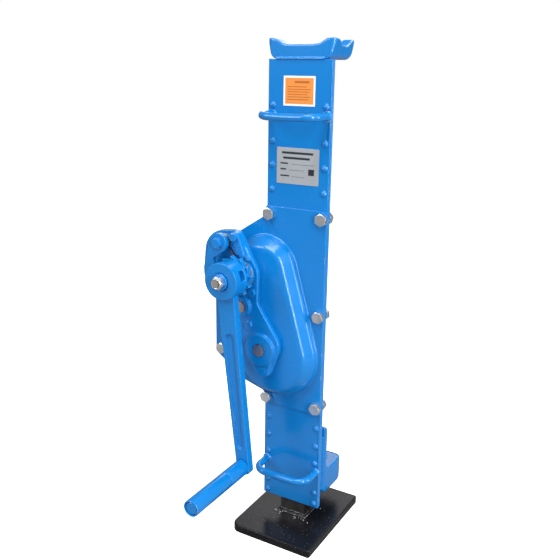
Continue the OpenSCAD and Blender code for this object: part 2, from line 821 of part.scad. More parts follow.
// ---- brake, crank and grip ----
module friction_disc(y0) {
    color("saddlebrown") difference() {
        rod(crank_axis, hub_r - 3.5, y0, y0 - friction_t);
        rod(crank_axis, crank_shaft_r, y0 + 1, y0 - friction_t - 1);
    }
}
module inner_friction_disc() { friction_disc(inner_disc_back); }
module outer_friction_disc() { friction_disc(outer_disc_back); }

// saw teeth: a steep face at each tooth's anticlockwise side
module ratchet_wheel() {
    step = 360 / ratchet_teeth;
    points = [for (k = [0:ratchet_teeth - 1])
        let (a = ratchet_face_angle + k * step)
        each [ratchet_r * [cos(a), sin(a)], ratchet_root_r * [cos(a + 2), sin(a + 2)]]];
    color(paint) difference() {
        translate([crank_axis[0], 0, crank_axis[1]])
            upright(ratchet_back - ratchet_gap, ratchet_back - ratchet_gap - ratchet_t) polygon(points);
        rod(crank_axis, crank_shaft_r + run_gap, ratchet_back + 1, outer_disc_back - 1);
    }
}

module pawl() {
    tip = 1.1;
    nose = ratchet_root_r + tip;
    flank = ratchet_r + 1.5;
    hook = [
        [-26, 45.5, pawl_boss_r], [-42, 7, 8],
        [nose * cos(161.3) - 3.3, nose * sin(161.3) - 6.2, 0],
        [nose * cos(161.3), nose * sin(161.3), 0],
        [flank * cos(159.6), flank * sin(159.6), 0], [-30.5, 20, -4]];
    color(paint) difference() {
        translate([crank_axis[0], 0, crank_axis[1]]) upright(pawl_back, pawl_back - pawl_t)
            polygon(outline(hook));
        rod(pawl_axis, pawl_bolt_r + run_gap, pawl_back + 1, pawl_back - pawl_t - 1);
    }
}

module pawl_pivot_bolt() {
    seat = pawl_back - pawl_t - 0.2;
    head_af = 13;
    head_t = 5;
    color(paint) {
        rod(pawl_axis, pawl_bolt_r, dome_front, seat);
        hex_rod(pawl_axis, head_af, seat, seat - head_t);
    }
}

// closed stand-in for the coil round the pawl's post, with its straight leg on the bracket's block
module pawl_spring() {
    coil_r = pawl_post_r + 2.6;
    wire_r = 1.1;
    leg_len = 22;
    color(steel) {
        difference() {
            rod(pawl_axis, coil_r, bracket_front - 0.6, pawl_back + 1);
            rod(pawl_axis, pawl_post_r + 0.2, bracket_front, pawl_back);
        }
        translate([pawl_axis[0], bracket_front - 3, pawl_axis[1] - coil_r + 1.2]) rotate([0, 90, 0])
            cylinder(r = wire_r, h = leg_len);
    }
}

module crank_arm() {
    lean = [sin(crank_lean), -cos(crank_lean)];
    side = [cos(crank_lean), sin(crank_lean)];
    groove_top = crank_axis + 84 * lean;
    groove_end = crank_axis + (crank_len - 33) * lean;
    groove_t = 3.5;
    corner_r = 5;
    end_out = 7;
    window = [15, 6, 11, 15]; // distance from the axis, from the hub's back, width, top
    corner = arm_end_w / 2 - corner_r;
    end_right = grip_axis + end_out * lean + corner * side;
    end_left = grip_axis + end_out * lean - corner * side;
    arm_circles = [[end_left[0], end_left[1], corner_r], [end_right[0], end_right[1], corner_r],
        [crank_axis[0], crank_axis[1], arm_top_w / 2]];
    color(paint) difference() {
        union() {
            upright(arm_back, arm_front) polygon(outline(arm_circles));
            rod(crank_axis, hub_r, hub_back, hub_front);
        }
        upright(arm_front + groove_t, arm_front - 1)
            polygon(outline([[groove_end[0], groove_end[1], 5.5], [groove_top[0], groove_top[1], 7]]));
        rod(crank_axis, crank_shaft_r, hub_back + 1, hub_front + washer_sink);
        rod(crank_axis, washer_r + 0.5, hub_front + washer_sink, hub_front - 1);
        rod(grip_axis, grip_pin_r, arm_back + 1, arm_front - 1);
        block([crank_axis[0] + window[0], hub_back - window[1] - window[2], crank_axis[1] + 1],
            [crank_axis[0] + hub_r + 2, hub_back - window[1], crank_axis[1] + window[3]]);
    }
}

module hub_washer() {
    color(paint) difference() {
        rod(crank_axis, washer_r, hub_front + washer_sink, hub_front - washer_t);
        rod(crank_axis, thread_r, hub_front + washer_sink + 1, hub_front - washer_t - 1);
    }
}

module hub_nut() {
    color(steel) difference() {
        union() {
            hex_rod(crank_axis, nut_af, hub_front - washer_t, hub_front - washer_t - nut_hex_t);
            rod(crank_axis, nut_collar_r, hub_front - washer_t - nut_hex_t, nut_front);
        }
        rod(crank_axis, thread_r, hub_front, nut_front - 1);
    }
}

module grip_pin() {
    color(steel) {
        rod(grip_axis, grip_pin_r, arm_back, grip_front + pin_head_t);
        rod(grip_axis, grip_r - grip_wall - run_gap, grip_front + pin_head_t + 1, grip_front + 1);
    }
}

module grip_sleeve() {
    collar = 40;
    color(paint) difference() {
        rod(grip_axis, grip_r, grip_back, grip_front);
        rod(grip_axis, grip_pin_r + run_gap, grip_back + 1, grip_front - 1);
        rod(grip_axis, grip_r - grip_wall, grip_front + pin_head_t + 1.2, grip_front - 1);
        difference() {
            rod(grip_axis, grip_r + 1, grip_back - collar, grip_back - collar - 1.2);
            rod(grip_axis, grip_r - 0.8, grip_back - collar + 1, grip_back - collar - 2);
        }
    }
}

base_plate();
rack();
rack_weld();
front_plate();
channel();
upper_guide();
lower_guide();
column_rivets();
head();
head_weld();
toe();
toe_weld();
upper_grab_handle();
lower_grab_handle();
pinion_case();
rear_bearing_plate();
gear_cover();
cover_bolts();
cover_nuts();
bearing_bracket();
bracket_screws();
low_shaft_bushes();
mid_shaft_bushes();
crank_shaft_bushes();
warning_label();
rating_plate();
pawl_pivot_bolt();
pawl_spring();
rack_pinion_shaft();
main_gear();
gear_key();
mid_shaft();
mid_gear();
crank_shaft();
inner_friction_disc();
ratchet_wheel();
outer_friction_disc();
crank_arm();
hub_washer();
hub_nut();
grip_pin();
grip_sleeve();
pawl();
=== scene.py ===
# Steel rack jack with a foot toe: the looks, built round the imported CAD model.
import math
import random

import bmesh
import bpy
from mathutils import Matrix, Vector


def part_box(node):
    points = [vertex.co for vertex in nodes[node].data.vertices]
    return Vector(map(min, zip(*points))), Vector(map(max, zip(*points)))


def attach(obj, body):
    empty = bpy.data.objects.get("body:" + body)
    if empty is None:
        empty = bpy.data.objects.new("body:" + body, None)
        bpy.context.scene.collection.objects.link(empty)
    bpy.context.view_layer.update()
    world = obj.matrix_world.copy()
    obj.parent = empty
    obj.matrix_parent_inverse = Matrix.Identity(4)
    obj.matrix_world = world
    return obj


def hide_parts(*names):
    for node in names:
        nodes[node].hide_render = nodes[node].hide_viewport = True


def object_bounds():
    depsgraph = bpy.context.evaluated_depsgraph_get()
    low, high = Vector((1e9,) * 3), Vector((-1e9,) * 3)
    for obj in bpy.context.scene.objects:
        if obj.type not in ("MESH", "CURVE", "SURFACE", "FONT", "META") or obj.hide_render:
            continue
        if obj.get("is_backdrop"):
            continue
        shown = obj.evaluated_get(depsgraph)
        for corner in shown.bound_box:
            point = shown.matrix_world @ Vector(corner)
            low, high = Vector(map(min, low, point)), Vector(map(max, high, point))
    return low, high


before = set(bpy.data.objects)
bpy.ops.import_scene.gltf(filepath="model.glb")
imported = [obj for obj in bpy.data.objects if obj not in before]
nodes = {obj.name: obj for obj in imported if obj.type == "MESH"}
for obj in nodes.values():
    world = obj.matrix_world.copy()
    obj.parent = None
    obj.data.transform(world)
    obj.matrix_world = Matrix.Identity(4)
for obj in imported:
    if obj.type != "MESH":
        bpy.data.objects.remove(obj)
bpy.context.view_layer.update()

# ---- Studio ----
# A white sweep under soft boxes: a tall one on the right gives the long glints on the gear cover,
# a weak one on the left keeps the front faces a deep blue, and one overhead lights the head.
scene = bpy.context.scene
scene.view_settings.view_transform = "Standard"
camera = bpy.data.objects.new("Camera", bpy.data.cameras.new("Camera"))
scene.collection.objects.link(camera)
camera.data.sensor_width, camera.data.lens = 36, 46.47
camera.matrix_world = (
    Matrix.Translation((0.4740, -0.8933, 0.6826))
    @ Matrix.Rotation(math.radians(29.745), 4, "Z")
    @ Matrix.Rotation(math.radians(90 - 16.031), 4, "X")
    @ Matrix.Rotation(math.radians(0.962), 4, "Z"))
scene.camera = camera

SOFT_BOXES = [  # name, place, aim, width, height, watts
    ("Right key", (1.45, -0.95, 0.95), (0, 0, 0.4), 0.22, 1.7, 25),
    ("Right strip", (1.6, 0.2, 0.85), (0, 0, 0.45), 0.12, 1.5, 14),
    ("Left fill", (-1.5, -1.9, 1.7), (0, 0, 0.35), 1.0, 1.2, 27),
    ("Overhead", (0.1, -1.1, 3.0), (0, 0, 0.3), 1.6, 1.6, 58),
    ("Rear rim", (-0.6, 1.7, 1.3), (0, 0, 0.4), 1.2, 1.2, 8)]
for name, place, aim, width, height, watts in SOFT_BOXES:
    lamp = bpy.data.objects.new(name, bpy.data.lights.new(name, "AREA"))
    lamp.data.shape, lamp.data.energy = "RECTANGLE", watts
    lamp.data.size, lamp.data.size_y = width, height
    lamp.location = place
    lamp.rotation_euler = (Vector(aim) - Vector(place)).to_track_quat("-Z", "Y").to_euler()
    scene.collection.objects.link(lamp)


def put(tree, kind, *fed, **settings):
    """Adds a shader node. Each fed pair is an input and its value, or the socket that feeds it."""
    made = tree.nodes.new("ShaderNode" + kind)
    for key, value in settings.items():
        setattr(made, key, value)
    for where, value in fed:
        if isinstance(value, bpy.types.NodeSocket):
            tree.links.new(value, made.inputs[where])
        else:
            made.inputs[where].default_value = value
    return made


world = bpy.data.worlds.new("Studio")
scene.world = world
world.use_nodes = True
air = world.node_tree
air.nodes.clear()
seen = put(air, "Background", ("Color", (1, 1, 1, 1)), ("Strength", 1.0))
felt = put(air, "Background", ("Color", (0.93, 0.96, 1, 1)), ("Strength", 0.27))
mixed = put(air, "MixShader", (0, put(air, "LightPath").outputs["Is Camera Ray"]),
            (1, felt.outputs[0]), (2, seen.outputs[0]))
put(air, "OutputWorld", ("Surface", mixed.outputs[0]))

bpy.ops.object.select_all(action="DESELECT")
bpy.ops.mesh.primitive_plane_add(size=14, location=(0, 0, 0))
floor = bpy.context.active_object
floor.name = "Floor"
sweep = bpy.data.materials.new("Pale floor")
sweep.use_nodes = True
paper = sweep.node_tree.nodes["Principled BSDF"]
eye = put(sweep.node_tree, "LightPath").outputs["Is Camera Ray"]
GREY_TO_JACK, PALE_TO_EYE, FLOOR_GLOW = (0.3, 0.3, 0.3, 1), (0.9, 0.9, 0.9, 1), 0.84
shade = put(sweep.node_tree, "Mix", (0, eye), (6, GREY_TO_JACK), (7, PALE_TO_EYE), data_type="RGBA")
glow = put(sweep.node_tree, "Math", (0, eye), (1, FLOOR_GLOW), operation="MULTIPLY")
sweep.node_tree.links.new(shade.outputs[2], paper.inputs["Base Color"])
sweep.node_tree.links.new(glow.outputs[0], paper.inputs["Emission Strength"])
paper.inputs["Emission Color"].default_value = (1, 1, 1, 1)
paper.inputs["Roughness"].default_value = 0.9
floor.data.materials.append(sweep)
floor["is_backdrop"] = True

# ---- Base plate ----
# A 12 mm steel plate cut from flat bar, one front corner cut back further than the others, its top
# edges dressed with a grinder and the whole brushed with gloss black enamel that wears at the edges.
MM = 0.001
PLATE_CUT_R, PLATE_CORNER_R, PLATE_EDGE_R = 14 * MM, 3.5 * MM, 2.0 * MM
NEAR_CORNER = 60 * MM
coat = bpy.data.node_groups.new("Sprayed coat", "ShaderNodeTree")
for label, value in (("Peel size", 3 * MM), ("Patch size", 60 * MM)):
    coat.interface.new_socket(label, in_out="INPUT", socket_type="NodeSocketFloat").default_value = value
for label in ("Height", "Mottle", "Dust"):
    coat.interface.new_socket(label, in_out="OUTPUT", socket_type="NodeSocketFloat")
given = coat.nodes.new("NodeGroupInput")
at = put(coat, "TexCoord").outputs["Object"]
peel_scale = put(coat, "Math", (0, 1.0), (1, given.outputs["Peel size"]), operation="DIVIDE")
patch_scale = put(coat, "Math", (0, 1.0), (1, given.outputs["Patch size"]), operation="DIVIDE")
peel = put(coat, "TexNoise", ("Vector", at), ("Scale", peel_scale.outputs[0]), ("Detail", 2.0))
sag = put(coat, "TexNoise", ("Vector", at), ("Scale", patch_scale.outputs[0]), ("Detail", 3.0))
speck = put(coat, "TexVoronoi", ("Vector", at), ("Scale", 260.0), ("Randomness", 1.0))
dust = put(coat, "MapRange", ("Value", speck.outputs["Distance"]), ("From Min", 0.1), ("From Max", 0.055))
height = put(coat, "Math", (0, sag.outputs["Fac"]), (1, 2.0), (2, peel.outputs["Fac"]),
             operation="MULTIPLY_ADD")
result = coat.nodes.new("NodeGroupOutput")
for label, socket in (("Height", height.outputs[0]), ("Mottle", sag.outputs["Fac"]),
                      ("Dust", dust.outputs[0])):
    coat.links.new(socket, result.inputs[label])

# Edge masks: the plain edge mask carries the paints' painted edge highlights, and the chip mask carries
# their wear to bare metal.
edge_highlight_and_wear = bpy.data.node_groups.new("Edge highlight and wear", "ShaderNodeTree")
for label, value in (("Reach", 1.2 * MM), ("Wear", 0.5)):
    edge_highlight_and_wear.interface.new_socket(label, in_out="INPUT", socket_type="NodeSocketFloat").default_value = value
for label in ("Edge", "Chip"):
    edge_highlight_and_wear.interface.new_socket(label, in_out="OUTPUT", socket_type="NodeSocketFloat")
given = edge_highlight_and_wear.nodes.new("NodeGroupInput")
at = put(edge_highlight_and_wear, "TexCoord").outputs["Object"]
rounded = put(edge_highlight_and_wear, "Bevel", ("Radius", given.outputs["Reach"]), samples=6)
agree = put(edge_highlight_and_wear, "VectorMath", (0, rounded.outputs[0]), (1, put(edge_highlight_and_wear, "NewGeometry").outputs["Normal"]),
            operation="DOT_PRODUCT")
edge = put(edge_highlight_and_wear, "MapRange", ("Value", agree.outputs["Value"]), ("From Min", 0.995), ("From Max", 0.9))
nicks = put(edge_highlight_and_wear, "TexNoise", ("Vector", at), ("Scale", 240.0), ("Detail", 4.0))
patch = put(edge_highlight_and_wear, "TexNoise", ("Vector", at), ("Scale", 38.0), ("Detail", 2.0))
knock = put(edge_highlight_and_wear, "Math", (0, nicks.outputs["Fac"]), (1, patch.outputs["Fac"]), operation="ADD")
limit = put(edge_highlight_and_wear, "Math", (0, -0.5), (1, given.outputs["Wear"]), (2, 1.3), operation="MULTIPLY_ADD")
over = put(edge_highlight_and_wear, "Math", (0, knock.outputs[0]), (1, limit.outputs[0]), operation="SUBTRACT")
flake = put(edge_highlight_and_wear, "MapRange", ("Value", over.outputs[0]), ("From Min", 0.0), ("From Max", 0.05))
chip = put(edge_highlight_and_wear, "Math", (0, flake.outputs[0]), (1, edge.outputs[0]), operation="MULTIPLY")
result = edge_highlight_and_wear.nodes.new("NodeGroupOutput")
edge_highlight_and_wear.links.new(edge.outputs[0], result.inputs["Edge"])
edge_highlight_and_wear.links.new(chip.outputs[0], result.inputs["Chip"])


def add_group(tree, group, *fed):
    made = tree.nodes.new("ShaderNodeGroup")
    made.node_tree = group
    for where, value in fed:
        made.inputs[where].default_value = value
    return made


def enamel(name, full, thin, bare, gloss, wear=0.45, dusty=0.0, peel_size=3 * MM, lumps=0.35,
           shine=0.42, clear=0.4, reach=1.2 * MM):
    """Gloss paint: full and thin coats in patches, a painted highlight in a lighter tint along every edge,
    and chips to metal.
    """
    material = bpy.data.materials.new(name)
    material.use_nodes = True
    tree = material.node_tree
    shader = tree.nodes["Principled BSDF"]
    film = add_group(tree, coat, ("Peel size", peel_size))
    rims = add_group(tree, edge_highlight_and_wear, ("Reach", reach), ("Wear", wear))
    shade = put(tree, "Mix", (0, film.outputs["Mottle"]), (6, (*full, 1)), (7, (*thin, 1)),
                data_type="RGBA")
    # Painted highlight: every edge is mixed towards a lighter tint of the thin coat, as if it caught the
    # light.
    highlight_share = put(tree, "Math", (0, rims.outputs["Edge"]), (1, 0.55), operation="MULTIPLY")
    edge_highlight_tint = [min(1, 1.5 * c + 0.03) for c in thin]
    highlighted = put(tree, "Mix", (0, highlight_share.outputs[0]), (6, shade.outputs[2]), (7, (*edge_highlight_tint, 1)),
                data_type="RGBA")
    chipped = put(tree, "Mix", (0, rims.outputs["Chip"]), (6, highlighted.outputs[2]), (7, (*bare, 1)),
                  data_type="RGBA")
    grit = put(tree, "Math", (0, film.outputs["Dust"]), (1, dusty), operation="MULTIPLY")
    final = put(tree, "Mix", (0, grit.outputs[0]), (6, chipped.outputs[2]), (7, (0.6, 0.6, 0.6, 1)),
                data_type="RGBA")
    tree.links.new(final.outputs[2], shader.inputs["Base Color"])
    haze = put(tree, "MapRange", ("Value", film.outputs["Mottle"]), ("From Min", 0.3), ("From Max", 0.7),
               ("To Min", gloss), ("To Max", gloss + 0.09))
    rough = put(tree, "Math", (0, rims.outputs["Chip"]), (1, 0.25), (2, haze.outputs[0]),
                operation="MULTIPLY_ADD")
    tree.links.new(rough.outputs[0], shader.inputs["Roughness"])
    skin = put(tree, "Bump", ("Strength", lumps), ("Distance", 0.12 * MM),
               ("Height", film.outputs["Height"]))
    tree.links.new(skin.outputs[0], shader.inputs["Normal"])
    shader.inputs["Specular IOR Level"].default_value = shine
    shader.inputs["Coat Weight"].default_value = clear
    shader.inputs["Coat Roughness"].default_value = 0.08
    return material


def named(name):
    """Names the object just added, alone in the selection, with its place put in its mesh."""
    piece = bpy.context.active_object
    piece.name = name
    bpy.ops.object.select_all(action="DESELECT")
    piece.select_set(True)
    bpy.ops.object.transform_apply(location=True, rotation=True, scale=True)
    return piece


def pick(piece, test, kind="EDGE"):
    """Selects in edit mode the edges, or faces, whose middle and direction, or normal, pass a test."""
    bpy.ops.object.mode_set(mode="EDIT")
    bpy.ops.mesh.select_mode(type=kind)
    bpy.ops.mesh.select_all(action="DESELECT")
    mesh = bmesh.from_edit_mesh(piece.data)
    for part in (mesh.edges if kind == "EDGE" else mesh.faces):
        ends = [v.co for v in part.verts]
        along = (ends[1] - ends[0]).normalized() if kind == "EDGE" else part.normal
        part.select_set(bool(test(sum(ends, Vector()) / len(ends), along)))
    mesh.select_flush_mode()
    bmesh.update_edit_mesh(piece.data)


def apply_modifier(piece, kind, **settings):
    modifier = piece.modifiers.new(kind.title(), kind)
    for key, value in settings.items():
        setattr(modifier, key, value)
    bpy.context.view_layer.objects.active = piece
    bpy.ops.object.modifier_apply(modifier=modifier.name)


def soften(piece, width, sharp=32, segments=3):
    """Rounds each edge sharper than an angle, and keeps flat faces flat to the light."""
    bpy.ops.object.mode_set(mode="OBJECT")
    bpy.ops.object.select_all(action="DESELECT")
    piece.select_set(True)
    bpy.context.view_layer.objects.active = piece
    apply_modifier(piece, "BEVEL", width=width, segments=segments, limit_method="ANGLE",
                   angle_limit=math.radians(sharp), use_clamp_overlap=False)
    bpy.ops.object.shade_smooth_by_angle(angle=math.radians(42))
    apply_modifier(piece, "WEIGHTED_NORMAL", weight=60, keep_sharp=True)


def fit(piece, material, body, slot, *replaced):
    """Gives a finished piece its material and its CAD body, and hides the nodes it stands for. The slot
    argument is not used.
    """
    piece.data.materials.clear()
    piece.data.materials.append(material)
    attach(piece, body)
    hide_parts(*replaced)


black_enamel = enamel("Black enamel", (0.004, 0.004, 0.006), (0.011, 0.011, 0.013),
                      bare=(0.42, 0.42, 0.43), gloss=0.2, wear=1.0, dusty=0.55, peel_size=5 * MM,
                      lumps=0.6, shine=0.3, clear=0.0)
black_enamel.node_tree.nodes["Principled BSDF"].inputs["IOR"].default_value = 1.38
low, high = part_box("base_plate")
bpy.ops.mesh.primitive_cube_add(size=1, location=(low + high) / 2, scale=high - low)
plate = named("Base_plate")
for radius, wanted in (
        (PLATE_CUT_R, lambda p, d: abs(d.z) > 0.9 and p.x < 0 and p.y < 0),
        (PLATE_CORNER_R, lambda p, d: abs(d.z) > 0.9 and (
            p.x > NEAR_CORNER or (p.x < 0 and p.y > NEAR_CORNER)))):
    pick(plate, wanted)
    bpy.ops.mesh.bevel(offset=radius, segments=7, affect="EDGES")
pick(plate, lambda p, d: p.z > high.z - 0.1 * MM and abs(d.z) < 0.1)
bpy.ops.mesh.bevel(offset=PLATE_EDGE_R, segments=3, affect="EDGES")
soften(plate, 0.5 * MM, segments=2)
fit(plate, black_enamel, "stand", "black_paint", "base_plate")


def copy_of(node, name):
    """A copy of a CAD node's mesh, merged and with its flat faces whole, ready to be worked on."""
    bpy.ops.object.select_all(action="DESELECT")
    piece = bpy.data.objects.new(name, nodes[node].data.copy())
    scene.collection.objects.link(piece)
    piece.select_set(True)
    bpy.context.view_layer.objects.active = piece
    bpy.ops.mesh.customdata_custom_splitnormals_clear()
    bpy.ops.object.mode_set(mode="EDIT")
    bpy.ops.mesh.select_all(action="SELECT")
    bpy.ops.mesh.remove_doubles(threshold=0.01 * MM)
    bpy.ops.mesh.dissolve_limited(angle_limit=math.radians(0.3))
    bpy.ops.object.mode_set(mode="OBJECT")
    return piece


def cast_skin(piece, grain, passes):
    """Turns a piece into a casting: one skin with rounded corners and fillets."""
    apply_modifier(piece, "REMESH", mode="VOXEL", voxel_size=grain)
    apply_modifier(piece, "SMOOTH", factor=0.5, iterations=passes)
    bpy.ops.object.shade_smooth()


def lump(piece, size, depth):
    """Pushes a piece's skin in and out as molten metal sets."""
    clouds = bpy.data.textures.new(piece.name + "_lumps", "CLOUDS")
    clouds.noise_scale = size
    apply_modifier(piece, "DISPLACE", texture=clouds, strength=depth, mid_level=0.5,
                   texture_coords="GLOBAL")
    bpy.ops.object.shade_smooth()


def metal(name, light, dark, rough, streak=(1.0, 1.0, 1.0), wear=0.5, spots=0.35):
    """Bare metal: light and dark patches stretched along the piece, fine scratches and bright rims."""
    material = bpy.data.materials.new(name)
    material.use_nodes = True
    tree = material.node_tree
    shader = tree.nodes["Principled BSDF"]
    turned = put(tree, "Mapping", ("Vector", put(tree, "TexCoord").outputs["Object"]),
                 ("Scale", streak))
    cloud = put(tree, "TexNoise", ("Vector", turned.outputs[0]), ("Scale", 55.0), ("Detail", 5.0))
    fine = put(tree, "TexNoise", ("Vector", turned.outputs[0]), ("Scale", 900.0), ("Detail", 2.0))
    rims = add_group(tree, edge_highlight_and_wear, ("Reach", 0.8 * MM), ("Wear", wear))
    stain = put(tree, "MapRange", ("Value", cloud.outputs["Fac"]), ("From Min", 0.35), ("From Max", 0.7))
    share = put(tree, "Math", (0, stain.outputs[0]), (1, spots), operation="MULTIPLY")
    ground = put(tree, "Mix", (0, share.outputs[0]), (6, (*light, 1)), (7, (*dark, 1)),
                 data_type="RGBA")
    bright = [min(1, 1.35 * c + 0.04) for c in light]
    final = put(tree, "Mix", (0, rims.outputs["Edge"]), (6, ground.outputs[2]), (7, (*bright, 1)),
                data_type="RGBA")
    tree.links.new(final.outputs[2], shader.inputs["Base Color"])
    dull = put(tree, "MapRange", ("Value", cloud.outputs["Fac"]), ("From Min", 0.3), ("From Max", 0.7),
               ("To Min", rough - 0.07), ("To Max", rough + 0.12))
    tree.links.new(dull.outputs[0], shader.inputs["Roughness"])
    grain = put(tree, "Bump", ("Strength", 0.22), ("Distance", 0.05 * MM),
                ("Height", fine.outputs["Fac"]))
    tree.links.new(grain.outputs[0], shader.inputs["Normal"])
    shader.inputs["Metallic"].default_value = 1.0
    return material


def joined(name, *parts):
    """Joins pieces to the first of them, under a name."""
    bpy.ops.object.select_all(action="DESELECT")
    for part in parts:
        part.select_set(True)
    bpy.context.view_layer.objects.active = parts[0]
    bpy.ops.object.join()
    piece = bpy.context.active_object
    piece.name = name
    return piece


oiled_steel = metal("Oiled steel", (0.20, 0.19, 0.18), (0.035, 0.03, 0.028), rough=0.34, spots=0.7)
rack = copy_of("rack", "Rack")
soften(rack, 0.4 * MM)
fit(rack, oiled_steel, "stand", "dark_steel", "rack")

weld = copy_of("rack_weld", "Rack_weld")
cast_skin(weld, grain=0.8 * MM, passes=3)
lump(weld, size=5 * MM, depth=1.6 * MM)
fit(weld, black_enamel, "stand", "black_paint", "rack_weld")

DROPS, DROP_FLAT = 26, 0.7
low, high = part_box("rack_weld")
chance = random.Random(11)
drops = []
for _ in range(DROPS):
    side = chance.choice((-1, 1))
    spot = (chance.uniform(low.x - 5 * MM, high.x + 9 * MM),
            low.y - chance.uniform(1, 10) * MM if side < 0 else high.y + chance.uniform(1, 8) * MM)
    bpy.ops.mesh.primitive_ico_sphere_add(subdivisions=2, radius=chance.uniform(0.5, 1.3) * MM,
                                          location=(*spot, low.z + 0.2 * MM))
    bpy.context.active_object.scale.z = DROP_FLAT
    drops.append(named("Drop"))
spatter = joined("Weld_spatter", *drops)
bpy.ops.object.shade_smooth()
bright_steel = metal("Bright zinc", (0.86, 0.87, 0.88), (0.40, 0.40, 0.41), rough=0.33, spots=0.7)
spatter.data.materials.append(bright_steel)
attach(spatter, "stand")

# ---- Column ----
# A flat front plate and a pressed U channel, held together by rows of button rivets. Two steel
# guide blocks inside it run on the rack. All but the guides is sprayed with the blue enamel.
BLUE, BLUE_THIN, BARE_IRON = (0.0008, 0.180, 0.540), (0.0012, 0.205, 0.595), (0.50, 0.56, 0.62)
blue_enamel = enamel("Blue enamel", BLUE, BLUE_THIN, BARE_IRON, gloss=0.2, wear=0.3)
for node, name, radius in (("front_plate", "Front_plate", 0.6 * MM), ("channel", "Channel", 0.9 * MM)):
    sheet = copy_of(node, name)
    soften(sheet, radius)
    fit(sheet, blue_enamel, "column", "blue_paint", node)
for node in ("upper_guide", "lower_guide"):
    nodes[node].data.materials.clear()
    nodes[node].data.materials.append(oiled_steel)


def lumps_of(node):
    """The lowest and highest corners of each separate solid in a CAD node."""
    mesh = bmesh.new()
    mesh.from_mesh(nodes[node].data)
    bmesh.ops.remove_doubles(mesh, verts=mesh.verts, dist=0.01 * MM)
    left, found = set(mesh.verts), []
    while left:
        front, reached = [left.pop()], []
        while front:
            vertex = front.pop()
            reached.append(vertex.co.copy())
            for link in vertex.link_edges:
                other = link.other_vert(vertex)
                if other in left:
                    left.remove(other)
                    front.append(other)
        found.append((Vector([min(c[i] for c in reached) for i in range(3)]),
                      Vector([max(c[i] for c in reached) for i in range(3)])))
    mesh.free()
    return sorted(found, key=lambda box: (round(box[0].x, 4), round(box[0].z, 4), round(box[0].y, 4)))


def spun(name, profile, steps=40):
    """A round piece on the Z axis from a profile of (radius, height) points, closed where it meets it."""
    bpy.ops.object.select_all(action="DESELECT")
    mesh = bpy.data.meshes.new(name)
    mesh.from_pydata([(r, 0, z) for r, z in profile], [(i, i + 1) for i in range(len(profile) - 1)], [])
    piece = bpy.data.objects.new(name, mesh)
    scene.collection.objects.link(piece)
    bpy.context.view_layer.objects.active = piece
    piece.select_set(True)
    bpy.ops.object.mode_set(mode="EDIT")
    bpy.ops.mesh.select_all(action="SELECT")
    bpy.ops.mesh.spin(steps=steps, angle=math.tau, center=(0, 0, 0), axis=(0, 0, 1))
    bpy.ops.mesh.select_all(action="SELECT")
    bpy.ops.mesh.remove_doubles(threshold=0.002 * MM)
    bpy.ops.mesh.normals_make_consistent(inside=False)
    bpy.ops.object.mode_set(mode="OBJECT")
    bpy.ops.object.shade_smooth_by_angle(angle=math.radians(38))
    return piece


def facing(place, turn=0.0, back=False):
    """Stands a piece made on the Z axis at a place, looking to the crank side or to the back."""
    tip = Matrix.Rotation(math.radians(-90 if back else 90), 4, "X")
    return Matrix.Translation(place) @ tip @ Matrix.Rotation(turn, 4, "Z")


def set_out(master, name, stands):
    """Copies a master, with its own mesh each, to every stand, and joins the copies to one piece."""
    bpy.ops.object.select_all(action="DESELECT")
    for stand in stands:
        copy = bpy.data.objects.new(name, master.data.copy())
        copy.data.transform(stand)
        scene.collection.objects.link(copy)
        copy.select_set(True)
        bpy.context.view_layer.objects.active = copy
    bpy.ops.object.join()
    piece = bpy.context.active_object
    piece.name = name
    return piece


RIVET_R, RIVET_H, TAIL_H = 4.5 * MM, 3.375 * MM, 2.0 * MM
crown = [(RIVET_R * math.cos(math.radians(a)), RIVET_H * math.sin(math.radians(a)))
         for a in (18, 36, 54, 72, 84)]
button = spun("Rivet_button", [(RIVET_R + 0.5 * MM, 0), (RIVET_R, 0.35 * MM), *crown, (0, RIVET_H)],
              steps=28)
tail = spun("Rivet_tail", [(4.3 * MM, 0), (3.9 * MM, 1.4 * MM), (3.2 * MM, TAIL_H), (0, TAIL_H)],
            steps=20)
fronts, backs = [], []
for box_low, box_high in lumps_of("column_rivets"):
    x, z = (box_low.x + box_high.x) / 2, (box_low.z + box_high.z) / 2
    fronts.append(facing((x, box_low.y + RIVET_H, z)))
    backs.append(facing((x, box_high.y - TAIL_H, z), back=True))
for master, name, stands in ((button, "Column_rivets", fronts), (tail, "Column_rivet_tails", backs)):
    rivets = set_out(master, name, stands)
    fit(rivets, blue_enamel, "column", "blue_paint", "column_rivets")
    bpy.data.objects.remove(master)

# ---- Head ----
# A forged cradle with three horns, welded on top of the column by a bead along its neck. Loads have
# rubbed the paint off the horn tips down to bright metal.
# Its wide edge reach widens both the worn chips and the painted edge highlight.
knocked_enamel = enamel("Blue enamel, knocked", BLUE, BLUE_THIN, bare=(0.85, 0.86, 0.88), gloss=0.24,
                        wear=0.5, peel_size=6 * MM, lumps=0.6, reach=3.5 * MM)
head = copy_of("head", "Head")
cast_skin(head, grain=0.9 * MM, passes=9)
fit(head, knocked_enamel, "column", "blue_paint", "head")
bead = copy_of("head_weld", "Head_weld")
cast_skin(bead, grain=0.6 * MM, passes=2)
lump(bead, size=4 * MM, depth=1.0 * MM)
fit(bead, blue_enamel, "column", "blue_paint", "head_weld")

